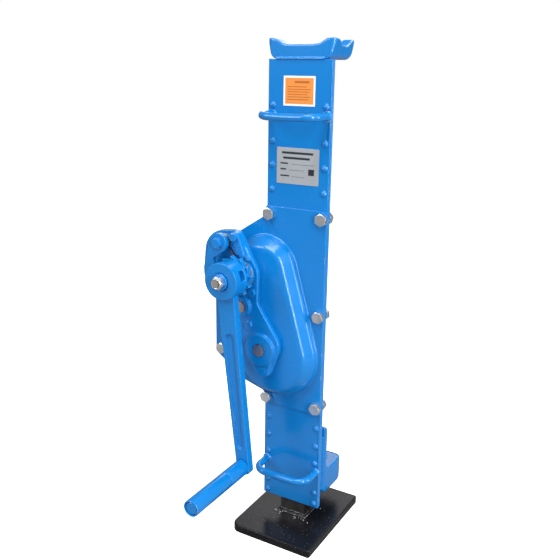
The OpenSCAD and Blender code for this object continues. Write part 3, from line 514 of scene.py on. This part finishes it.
# ---- Toe ----
# A forged foot on the back of the column for low loads: an upright web that sweeps out into a
# thick round-cornered tongue with small raised studs, welded down both sides of the web.
low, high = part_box("toe")
TOE_TOP = 78 * MM
STUD_R, STUD_SINK, STUD_GAP, FIRST_ROW = 3.0 * MM, 0.6 * MM, 9, 31
toe = copy_of("toe", "Toe")
cast_skin(toe, grain=1.3 * MM, passes=45)
studs = []
for row in range(3):
    for column in range(-2, 3):
        bpy.ops.mesh.primitive_uv_sphere_add(
            segments=16, ring_count=8, radius=STUD_R,
            location=(column * STUD_GAP * MM, low.y + (FIRST_ROW + STUD_GAP * row) * MM,
                      TOE_TOP - STUD_SINK))
        bpy.ops.object.shade_smooth()
        studs.append(named("Stud"))
toe = joined("Toe", toe, *studs)
fit(toe, blue_enamel, "column", "blue_paint", "toe")
bead = copy_of("toe_weld", "Toe_weld")
cast_skin(bead, grain=0.8 * MM, passes=2)
lump(bead, size=5 * MM, depth=1.2 * MM)
fit(bead, blue_enamel, "column", "blue_paint", "toe_weld")

# ---- Grab handles ----
# Two loops of 10.6 mm round bar, bent at their corners, a little bowed between them, and welded to
# the front plate with a small flared fillet at each foot.
def bar_loop(name, points, radius):
    """A round bar along a line of (place, share of radius) points, with closed ends."""
    curve = bpy.data.curves.new(name, "CURVE")
    curve.dimensions = "3D"
    curve.bevel_depth, curve.bevel_resolution, curve.use_fill_caps = radius, 5, True
    line = curve.splines.new("POLY")
    line.points.add(len(points) - 1)
    for knot, (place, share) in zip(line.points, points):
        knot.co, knot.radius = (*place, 1), share
    piece = bpy.data.objects.new(name, curve)
    scene.collection.objects.link(piece)
    bpy.ops.object.select_all(action="DESELECT")
    piece.select_set(True)
    bpy.context.view_layer.objects.active = piece
    bpy.ops.object.convert(target="MESH")
    bpy.ops.object.mode_set(mode="EDIT")
    bpy.ops.mesh.select_all(action="SELECT")
    bpy.ops.mesh.remove_doubles(threshold=0.002 * MM)
    bpy.ops.mesh.normals_make_consistent(inside=False)
    bpy.ops.object.mode_set(mode="OBJECT")
    bpy.ops.object.shade_smooth_by_angle(angle=math.radians(45))
    return bpy.context.active_object


GRAB_R, GRAB_BEND, GRAB_BOW = 5.3 * MM, 17.3 * MM, 1.5 * MM
GRAB_FLARE = ((0.0, 1.4), (0.8, 1.25), (1.9, 1.1), (3.4, 1.02), (5.0, 1.0))
for node in ("upper_grab_handle", "lower_grab_handle"):
    low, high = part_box(node)
    z, leg, bar_y = (low.z + high.z) / 2, high.x - GRAB_R, low.y + GRAB_R
    half = []
    for gap, share in GRAB_FLARE:
        half.append((Vector((leg, high.y - gap * MM, z)), share))
    for step in range(11):
        a = math.radians(9 * step)
        half.append((Vector((leg - GRAB_BEND + GRAB_BEND * math.cos(a),
                             bar_y + GRAB_BEND - GRAB_BEND * math.sin(a), z)), 1.0))
    span = leg - GRAB_BEND
    middle = [(Vector((span * (1 - k / 8), bar_y, z)), 1.0) for k in range(1, 16)]
    whole = half + middle + [(Vector((-p.x, p.y, p.z)), share) for p, share in reversed(half)]
    bowed = [(Vector((p.x, p.y, p.z - GRAB_BOW * max(0.0, 1 - (p.x / leg) ** 2))), share)
             for p, share in whole]
    fit(bar_loop(node.capitalize(), bowed, GRAB_R), blue_enamel, "column", "blue_paint", node)

# ---- Labels ----
# A printed orange film with a pale border and plain bars, and a thin satin aluminium rating plate
# with plain engraved bars. Neither carries any lettering.
def bars(tree, at, rows):
    """A mask that is 1 inside any of the (x0, x1, z0, z1) boxes, in millimetres, with crisp edges."""
    apart = put(tree, "SeparateXYZ", (0, at))
    total = None
    for x0, x1, z0, z1 in rows:
        inside = []
        for axis, lo, hi in (("X", x0, x1), ("Z", z0, z1)):
            off = put(tree, "Math", (0, apart.outputs[axis]), (1, (lo + hi) / 2 * MM),
                      operation="SUBTRACT")
            far = put(tree, "Math", (0, off.outputs[0]), operation="ABSOLUTE")
            inside.append(put(tree, "MapRange", ("Value", far.outputs[0]),
                              ("From Min", ((hi - lo) / 2 + 0.1) * MM),
                              ("From Max", ((hi - lo) / 2 - 0.1) * MM)))
        box = put(tree, "Math", (0, inside[0].outputs[0]), (1, inside[1].outputs[0]),
                  operation="MULTIPLY")
        total = box.outputs[0] if total is None else put(
            tree, "Math", (0, total), (1, box.outputs[0]), operation="MAXIMUM").outputs[0]
    return total


def printed(name, ground, prints, metallic, rough):
    """A label face: patchy ground colour with printed bars in one or more inks, slightly scuffed."""
    material = bpy.data.materials.new(name)
    material.use_nodes = True
    tree = material.node_tree
    shader = tree.nodes["Principled BSDF"]
    at = put(tree, "TexCoord").outputs["Object"]
    film = add_group(tree, coat, ("Peel size", 1.5 * MM), ("Patch size", 18 * MM))
    deeper = [0.8 * c for c in ground]
    final = put(tree, "Mix", (0, film.outputs["Mottle"]), (6, (*ground, 1)), (7, (*deeper, 1)),
                data_type="RGBA")
    for ink, rows in prints:
        final = put(tree, "Mix", (0, bars(tree, at, rows)), (6, final.outputs[2]), (7, (*ink, 1)),
                    data_type="RGBA")
    tree.links.new(final.outputs[2], shader.inputs["Base Color"])
    scuff = put(tree, "MapRange", ("Value", film.outputs["Mottle"]), ("From Min", 0.3), ("From Max", 0.7),
                ("To Min", rough), ("To Max", rough + 0.15))
    tree.links.new(scuff.outputs[0], shader.inputs["Roughness"])
    press = put(tree, "Bump", ("Strength", 0.3), ("Distance", 0.05 * MM),
                ("Height", film.outputs["Height"]))
    tree.links.new(press.outputs[0], shader.inputs["Normal"])
    shader.inputs["Metallic"].default_value = metallic
    return material


low, high = (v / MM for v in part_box("warning_label"))
BORDER, LINE_GAP = 2.6, 3.3
border = [(low.x, high.x, low.z, low.z + BORDER), (low.x, high.x, high.z - BORDER, high.z),
          (low.x, low.x + BORDER, low.z, high.z), (high.x - BORDER, high.x, low.z, high.z)]
film_bars = [(low.x + 17, high.x - 9, high.z - 9.5, high.z - 6.5)] + [
    (low.x + 6, high.x - cut, high.z - 14.6 - LINE_GAP * k, high.z - 13.5 - LINE_GAP * k)
    for k, cut in enumerate((13, 7, 9, 12, 8, 10))]
label_film = printed("Orange film", (0.90, 0.30, 0.05),
                     (((0.48, 0.12, 0.02), film_bars), ((0.88, 0.88, 0.88), border)),
                     metallic=0.0, rough=0.32)
label = copy_of("warning_label", "Warning_label")
soften(label, 0.12 * MM, segments=2)
fit(label, label_film, "column", "orange_film", "warning_label")

low, high = (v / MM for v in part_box("rating_plate"))
plate_bars = [(low.x + 8, high.x - 9, high.z - 8.5, high.z - 5.5),
              (low.x + 10, high.x - 14, high.z - 15.5, high.z - 12.5),
              (low.x + 6, low.x + 18, high.z - 22.5, high.z - 20.5),
              (low.x + 24, high.x - 8, high.z - 22.6, high.z - 22.1),
              (low.x + 6, low.x + 15, high.z - 30.5, high.z - 28.5),
              (low.x + 20, high.x - 22, high.z - 30.6, high.z - 30.1),
              (high.x - 16, high.x - 7, high.z - 36, high.z - 27.5),
              (low.x + 6, low.x + 20, high.z - 39.5, high.z - 37.5),
              (low.x + 24, high.x - 22, high.z - 39.6, high.z - 39.1)]
plate_face = printed("Satin aluminium", (0.62, 0.66, 0.70), (((0.05, 0.055, 0.07), plate_bars),),
                     metallic=0.7, rough=0.36)
rating = copy_of("rating_plate", "Rating_plate")
soften(rating, 0.15 * MM, segments=2)
fit(rating, plate_face, "column", "plate_metal", "rating_plate")

# ---- Pinion case and rear bearing plate ----
# A small box of folded plate behind the wing closes in the rack pinion, and a thicker square
# plate welded to its back holds the shaft's rear bush.
for node, name in (("pinion_case", "Pinion_case"), ("rear_bearing_plate", "Rear_bearing_plate")):
    block = copy_of(node, name)
    soften(block, 0.8 * MM)
    fit(block, blue_enamel, "column", "blue_paint", node)

# ---- Gear cover ----
# One sheet pressed deep over the gears: a flat flange, a short steep wall, a sloping band and a flat
# top, with soft bends between them. It is bolted through the column's front plate.
def outline(circles, fine=6):
    """Points of an outline run anticlockwise round circles (x, z, radius); below 0 is a hollow corner."""
    def touch(a, b):
        dx, dz = b[0] - a[0], b[1] - a[1]
        return math.atan2(dz, dx) - math.acos((a[2] - b[2]) / math.hypot(dx, dz))
    points = []
    for i, (x, z, r) in enumerate(circles):
        start = touch(circles[i - 1], circles[i])
        turn = (touch(circles[i], circles[(i + 1) % len(circles)]) - start) % math.tau
        if r >= 0:
            turn = 0 if turn > math.tau - 0.002 else turn
        else:
            turn = 0 if turn < 0.002 else turn - math.tau
        steps = 0 if r == 0 else max(1, math.ceil(abs(turn) / math.radians(fine)))
        for k in range(steps + 1):
            a = start + (turn * k / steps if steps else 0)
            points.append((x + r * math.cos(a), z + r * math.sin(a)))
    return points


def loop_of(points, y, name):
    """A closed loop of edges through points given in millimetres, upright at depth y."""
    bpy.ops.mesh.primitive_circle_add(vertices=len(points), radius=0.1)
    loop = named(name)
    for vertex, (x, z) in zip(loop.data.vertices, points):
        vertex.co = (x * MM, y, z * MM)
    return loop


FLANGE = [(-47.7, 198, 0), (47.7, 198, 0), (47.7, 501, 0), (-47.7, 501, 0), (-57.7, 493, -10),
          (-132, 429, 4), (-124, 268, 12), (-80, 235, 10), (-53.7, 210.6, -6)]
DOME = [(-95, 300, 28), (-24, 283, 65), (-45, 408, 50), (-98, 400, 25)]
FOOT = 3.0
PRESSING = [  # millimetres in and out of each bend, from the foot to the flat top
    (1.4, 0.4), (1.1, 1.1), (0.5, 1.7), (0.9, 3.4), (0.7, 2.0), (1.2, 1.7), (6.0, 8.3), (1.8, 2.3),
    (2.0, 1.4), (2.9, 0.7), (3.5, 0.0)]
COVER_T = 3 * MM
low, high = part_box("gear_cover")
flange_y = high.y - COVER_T
rim = loop_of(outline(FLANGE), flange_y, "Gear_cover")
foot_points = outline([(x, z, r + FOOT) for x, z, r in DOME], 4)
cover = joined("Gear_cover", rim, loop_of(foot_points, flange_y, "Dome_foot"))
bpy.ops.object.mode_set(mode="EDIT")
bpy.ops.mesh.select_all(action="SELECT")
bpy.ops.mesh.fill(use_beauty=True)
on_foot = {(round(x, 2), round(z, 2)) for x, z in foot_points}
bpy.ops.mesh.select_mode(type="EDGE")
bpy.ops.mesh.select_all(action="DESELECT")
mesh = bmesh.from_edit_mesh(cover.data)
for side in mesh.edges:
    side.select_set(side.is_boundary and all(
        (round(v.co.x / MM, 2), round(v.co.z / MM, 2)) in on_foot for v in side.verts))
bmesh.update_edit_mesh(cover.data)
bpy.ops.mesh.edge_face_add()
bpy.ops.mesh.select_mode(type="FACE")
mesh = bmesh.from_edit_mesh(cover.data)
for face in mesh.faces:
    if face.normal.y > 0:
        face.normal_flip()
bmesh.update_edit_mesh(cover.data)
for inward, outward in PRESSING:
    bpy.ops.mesh.inset(thickness=inward * MM, depth=outward * MM, use_even_offset=True)
bpy.ops.object.mode_set(mode="OBJECT")
apply_modifier(cover, "SOLIDIFY", thickness=COVER_T, offset=-1, use_even_offset=True)
soften(cover, 0.5 * MM, sharp=60, segments=2)
fit(cover, blue_enamel, "column", "blue_paint", "gear_cover")

# ---- Case bolts and nuts ----
# Zinc-plated M10 bolts with chamfered 16 mm heads go through the cover's flange and the column, with
# nuts behind them. The lower left one is longer than it need be and its head stands off the cover.
def hexagon(name, across, height, bore=0.0):
    """A hexagon on the Z axis from 0 to its height, its top corners turned off by a cone."""
    corner, flat = across / math.sqrt(3), across * 0.475
    bpy.ops.mesh.primitive_cylinder_add(vertices=6, radius=corner, depth=height,
                                        location=(0, 0, height / 2))
    piece = named(name)
    slack = 0.02 * MM
    bpy.ops.mesh.primitive_cone_add(
        vertices=48, radius1=flat + (height + slack) * math.sqrt(3), radius2=flat, depth=height + 2 * slack,
        location=(0, 0, height / 2 + slack / 2))
    cutter = named("Cutter")
    apply_modifier(piece, "BOOLEAN", operation="INTERSECT", solver="EXACT", object=cutter)
    bpy.data.objects.remove(cutter)
    if bore:
        bpy.ops.mesh.primitive_cylinder_add(vertices=32, radius=bore, depth=3 * height,
                                            location=(0, 0, 0))
        cutter = named("Cutter")
        apply_modifier(piece, "BOOLEAN", operation="DIFFERENCE", solver="EXACT", object=cutter)
        bpy.data.objects.remove(cutter)
    soften(piece, 0.22 * MM, sharp=20, segments=2)
    return piece


def thread(name, radius, length, pitch=1.5 * MM):
    """A bolt's threaded end on the Z axis, with its ridges and a chamfered tip."""
    ridges = int(length / pitch)
    profile = [(radius - 0.8 * MM, 0)]
    for k in range(ridges):
        profile += [(radius, (k + 0.5) * pitch), (radius - 0.8 * MM, (k + 1) * pitch)]
    return spun(name, profile + [(radius - 1.6 * MM, length + 0.4 * MM), (0, length + 0.4 * MM)], steps=24)


def set_bolts(master, name, stands, finish, slot, node):
    """Sets a master out over a group of fasteners of the column, and puts the master away."""
    fit(set_out(master, name, stands), finish, "column", slot, node)
    bpy.data.objects.remove(master)


BOLT_AF, BOLT_R, BOLT_REACH, COLLAR_R = 16 * MM, 5 * MM, 14 * MM, 7.8 * MM
HEAD_T, NUT_T, THREAD_R, THREAD_LEN = 6.5 * MM, 8 * MM, 4.9 * MM, 8.5 * MM
bolt_head = hexagon("Bolt_head", BOLT_AF, HEAD_T)
shank = spun("Bolt_shank", [(0, -BOLT_REACH), (BOLT_R, -BOLT_REACH), (BOLT_R, 0), (COLLAR_R, 0),
                            (COLLAR_R, 0.5 * MM), (0, 0.5 * MM)], steps=32)
stands = [facing(((a.x + b.x) / 2, a.y + HEAD_T, (a.z + b.z) / 2), turn=0.7 * i)
          for i, (a, b) in enumerate(lumps_of("cover_bolts"))]
set_bolts(joined("Bolt_master", bolt_head, shank), "Cover_bolts", stands, bright_steel, "zinc",
          "cover_bolts")
stands = [facing(((a.x + b.x) / 2, b.y - THREAD_LEN - 0.5 * MM, (a.z + b.z) / 2), back=True)
          for a, b in lumps_of("cover_bolts")]
set_bolts(thread("Thread_master", THREAD_R, THREAD_LEN), "Bolt_threads", stands, bright_steel,
          "zinc", "cover_bolts")
stands = [facing(((a.x + b.x) / 2, a.y, (a.z + b.z) / 2), turn=0.4 * i, back=True)
          for i, (a, b) in enumerate(lumps_of("cover_nuts"))]
set_bolts(hexagon("Nut_master", BOLT_AF, NUT_T, bore=THREAD_R), "Cover_nuts", stands, bright_steel,
          "zinc", "cover_nuts")

# ---- Bearing bracket ----
# An iron casting over the cover that carries the front bushes: a wide lobe behind the pawl, a long
# lower arm with round bosses, a raised rib and a block for the pawl's spring. Painted with the case.
BRACKET_FRONT, ROOTED = -56.5 * MM, 1 * MM
CRANK = Vector((-68.84, 404.95)) * MM
LOW_SHAFT = Vector((-34.4, 296.5)) * MM
PAWL = Vector((-94.84, 450.45)) * MM


def capsule(name, a, b, radii, rise):
    """A bar with round ends between two places, rooted in the bracket's front and rising from it."""
    run = outline([(a[0] / MM, a[1] / MM, radii[0] / MM), (b[0] / MM, b[1] / MM, radii[1] / MM)], 15)
    y0, y1 = BRACKET_FRONT + ROOTED, BRACKET_FRONT - rise
    piece = loop_of(run, y0, name)
    bpy.ops.object.mode_set(mode="EDIT")
    bpy.ops.mesh.select_all(action="SELECT")
    bpy.ops.mesh.edge_face_add()
    bpy.ops.mesh.extrude_region_move(TRANSFORM_OT_translate={"value": (0, y1 - y0, 0)})
    bpy.ops.mesh.select_all(action="SELECT")
    bpy.ops.mesh.normals_make_consistent(inside=False)
    bpy.ops.object.mode_set(mode="OBJECT")
    return piece


bracket = copy_of("bearing_bracket", "Bearing_bracket")
extras = [
    capsule("Pad", LOW_SHAFT, (-31.0 * MM, 266 * MM), (22 * MM, 11.5 * MM), rise=3.4 * MM),
    capsule("Prong", (-78.5 * MM, 448.5 * MM), (-70 * MM, 437 * MM), (3.4 * MM, 3.8 * MM), rise=9 * MM),
    capsule("Ear", (-60 * MM, 433 * MM), (-57 * MM, 428 * MM), (3.2 * MM, 3.2 * MM), rise=4.5 * MM)]
bracket = joined("Bearing_bracket", bracket, *extras)
cast_skin(bracket, grain=0.8 * MM, passes=7)
cast_enamel = enamel("Blue enamel on iron", BLUE, BLUE_THIN, BARE_IRON, gloss=0.22, wear=0.35,
                     peel_size=4.5 * MM, lumps=0.75)
fit(bracket, cast_enamel, "column", "blue_paint", "bearing_bracket")

# ---- Bracket screws and pawl bolt ----
# Small hexagon screws hold the bracket to the cover, and a larger one with a collar under its head
# carries the pawl. All of them were painted over with the case.
SCREW_AF, SCREW_T, PIVOT_AF, PIVOT_T, STEM_R = 11 * MM, 4 * MM, 13 * MM, 4.6 * MM, 3.9 * MM
stands = [facing(((a.x + b.x) / 2, a.y + SCREW_T, (a.z + b.z) / 2), turn=0.5 + i)
          for i, (a, b) in enumerate(lumps_of("bracket_screws"))]
set_bolts(hexagon("Screw_master", SCREW_AF, SCREW_T), "Bracket_screws", stands, blue_enamel,
          "blue_paint", "bracket_screws")
low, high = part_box("pawl_pivot_bolt")
pivot = hexagon("Pawl_head", PIVOT_AF, PIVOT_T)
root = -(high.y - low.y) + 5 * MM
stem = spun("Pawl_stem", [(0, root), (STEM_R, root), (STEM_R, -0.4 * MM), (8.2 * MM, -0.4 * MM),
                          (8.2 * MM, 0.3 * MM), (0, 0.3 * MM)], steps=32)
pivot = joined("Pawl_pivot_bolt", pivot, stem)
pivot.data.transform(facing((PAWL[0], low.y + PIVOT_T, PAWL[1]), turn=0.3))
fit(pivot, blue_enamel, "column", "blue_paint", "pawl_pivot_bolt")

# ---- Pawl spring ----
# A light coil of 1.1 mm spring wire round the pawl's post, its long end resting on the bracket's
# block. It is left dark and unpainted.
low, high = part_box("pawl_spring")
WIRE, COIL_R, COILS, STEPS = 0.55 * MM, 10.2 * MM, 5, 24
helix = []
y_from, y_to = low.y + WIRE, high.y - WIRE
for step in range(STEPS * COILS + 1):
    a = math.radians(360 / STEPS * step) + math.radians(-60)
    share = step / (STEPS * COILS)
    helix.append((Vector((PAWL[0] + COIL_R * math.cos(a), y_from + (y_to - y_from) * share,
                          PAWL[1] + COIL_R * math.sin(a))), 1.0))
last = helix[-1][0]
helix.append((Vector((PAWL[0] + 13 * MM, last.y, PAWL[1] - 17 * MM)), 1.0))
helix.append((Vector((PAWL[0] + 18 * MM, last.y, PAWL[1] - 22 * MM)), 1.0))
spring_steel = metal("Spring wire", (0.30, 0.31, 0.32), (0.08, 0.08, 0.09), rough=0.34, spots=0.8)
fit(bar_loop("Pawl_spring", helix, WIRE), spring_steel, "column", "zinc", "pawl_spring")

# ---- Bushes, shafts and gears ----
# Bronze bushes carry ground steel shafts, and the machine-cut gears on them run in grease inside
# the cover. They are the CAD solids, with worked metal finishes.
bronze = metal("Bronze", (0.62, 0.38, 0.16), (0.30, 0.17, 0.07), rough=0.36, spots=0.6)
turned_steel = metal("Turned steel", (0.70, 0.62, 0.55), (0.40, 0.33, 0.27), rough=0.36, spots=0.7)
greased_steel = metal("Greased steel", (0.27, 0.26, 0.24), (0.08, 0.07, 0.05), rough=0.3, spots=0.8)
for finish, names in (
        (bronze, ("low_shaft_bushes", "mid_shaft_bushes", "crank_shaft_bushes")),
        (turned_steel, ("rack_pinion_shaft", "mid_shaft", "crank_shaft", "gear_key")),
        (greased_steel, ("main_gear", "mid_gear"))):
    for node in names:
        nodes[node].data.materials.clear()
        nodes[node].data.materials.append(finish)
        if finish is not greased_steel:
            nodes[node].modifiers.new("Soft corners", "BEVEL").width = 0.15 * MM

# ---- Brake ----
# The load brake on the crank shaft: a saw-toothed ratchet wheel held between two fibre discs, with
# the pawl that stops it. The wheel and the pawl were painted when the case was sprayed.
fibre = enamel("Brake fibre", (0.045, 0.050, 0.075), (0.02, 0.035, 0.09), bare=(0.16, 0.12, 0.10),
               gloss=0.6, wear=0.2, peel_size=1.2 * MM, lumps=0.8)
for node in ("inner_friction_disc", "outer_friction_disc"):
    nodes[node].data.materials.clear()
    nodes[node].data.materials.append(fibre)
wheel = copy_of("ratchet_wheel", "Ratchet_wheel")
soften(wheel, 0.45 * MM)
fit(wheel, cast_enamel, "ratchet", "blue_paint", "ratchet_wheel")
pawl = copy_of("pawl", "Pawl")
cast_skin(pawl, grain=0.5 * MM, passes=4)
fit(pawl, cast_enamel, "pawl", "blue_paint", "pawl")

# ---- Crank ----
# One forging: a drum hub with a slot in its rim for the brake's stop, and a tapered arm with a long
# shallow panel sunk in its front and a square-cornered end.
arm = copy_of("crank_arm", "Crank_arm")
cast_skin(arm, grain=0.7 * MM, passes=5)
fit(arm, cast_enamel, "crank", "blue_paint", "crank_arm")

# ---- Hub washer and nut ----
# A thick painted washer with a locking notch in its rim, and a zinc-plated self-locking nut with a
# rolled collar, hold the crank on its threaded shaft end.
WASHER_BORE, NUT_AF, NUT_H, STUB_LEN = 5.2 * MM, 17 * MM, 6.4 * MM, 7.6 * MM
low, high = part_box("hub_washer")
radius, thick = (high.x - low.x) / 2, high.y - low.y
washer = spun("Hub_washer", [(WASHER_BORE, 0), (radius - 0.4 * MM, 0), (radius, 0.5 * MM),
                             (radius, thick - 0.5 * MM), (radius - 0.5 * MM, thick),
                             (WASHER_BORE, thick), (WASHER_BORE, 0)], steps=64)
bpy.ops.mesh.primitive_cube_add(size=1, location=(0, radius, thick), scale=(3 * MM, 5 * MM, 3 * MM))
notch = named("Notch")
apply_modifier(washer, "BOOLEAN", operation="DIFFERENCE", solver="EXACT", object=notch)
bpy.data.objects.remove(notch)
washer.data.transform(facing((CRANK[0], high.y, CRANK[1])))
fit(washer, blue_enamel, "crank", "blue_paint", "hub_washer")
low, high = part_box("hub_nut")
nut = hexagon("Nut_flats", NUT_AF, NUT_H, bore=THREAD_R)
COLLAR = ((4.9, 5.8), (7.9, 5.8), (7.8, 8.0), (7.3, 8.8), (6.7, 9.0), (6.2, 8.8), (6.0, 8.3), (5.9, 6.6),
          (4.9, 6.4), (4.9, 5.8))
collar = spun("Nut_collar", [(r * MM, z * MM) for r, z in COLLAR], steps=48)
stub = thread("Nut_stub", 4.6 * MM, STUB_LEN, pitch=1.25 * MM)
nut = joined("Hub_nut", nut, collar, stub)
nut.data.transform(facing((CRANK[0], high.y, CRANK[1]), turn=0.35))
fit(nut, bright_steel, "crank", "zinc", "hub_nut")

# ---- Grip ----
# A painted steel tube turns on the pin; a groove a third of the way along keeps its retaining
# ring, and the pin's round end sits inside the tube's rolled rim.
low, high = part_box("grip_sleeve")
grip_x, grip_z, grip_r = (low.x + high.x) / 2, (low.z + high.z) / 2, (high.x - low.x) / 2
PIN_R, GRIP_BORE, DISC_SEAT, GROOVE_AT = 6.9 * MM, 7.2 * MM, 4.2 * MM, 0.34
length = high.y - low.y
rim_in = grip_r - 2.2 * MM
profile = [(GRIP_BORE, 0), (grip_r - 0.9 * MM, 0), (grip_r - 0.2 * MM, 0.4 * MM), (grip_r, 1.2 * MM)]
groove = length * GROOVE_AT
profile += [(grip_r, groove - 1.0 * MM), (grip_r - 0.15 * MM, groove - 0.5 * MM),
            (grip_r - 0.4 * MM, groove), (grip_r - 0.15 * MM, groove + 0.5 * MM),
            (grip_r, groove + 1.3 * MM)]
profile += [(grip_r, length - 1.6 * MM), (grip_r - 0.3 * MM, length - 0.5 * MM),
            (grip_r - 1.0 * MM, length), (grip_r - 1.8 * MM, length - 0.4 * MM),
            (rim_in, length - 1.4 * MM), (rim_in, length - DISC_SEAT),
            (GRIP_BORE, length - DISC_SEAT), (GRIP_BORE, 0)]
grip = spun("Grip_sleeve", profile, steps=72)
grip.data.transform(facing((grip_x, high.y, grip_z)))
fit(grip, blue_enamel, "grip", "blue_paint", "grip_sleeve")
low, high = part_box("grip_pin")
reach = high.y - low.y
disc_r = (high.x - low.x) / 2
pin = spun("Grip_pin", [(0, 0), (PIN_R, 0), (PIN_R, reach - 3 * MM),
                        (disc_r - 0.1 * MM, reach - 3 * MM), (disc_r - 0.1 * MM, reach - 2.0 * MM),
                        (disc_r - 1.3 * MM, reach - 1.9 * MM), (disc_r - 1.5 * MM, reach - 0.6 * MM),
                        (disc_r - 2.2 * MM, reach), (0, reach + 0.3 * MM)], steps=64)
pin.data.transform(facing((grip_x, high.y, grip_z)))
fit(pin, blue_enamel, "crank", "blue_paint", "grip_pin")

# ---- Finish ----
low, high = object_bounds()
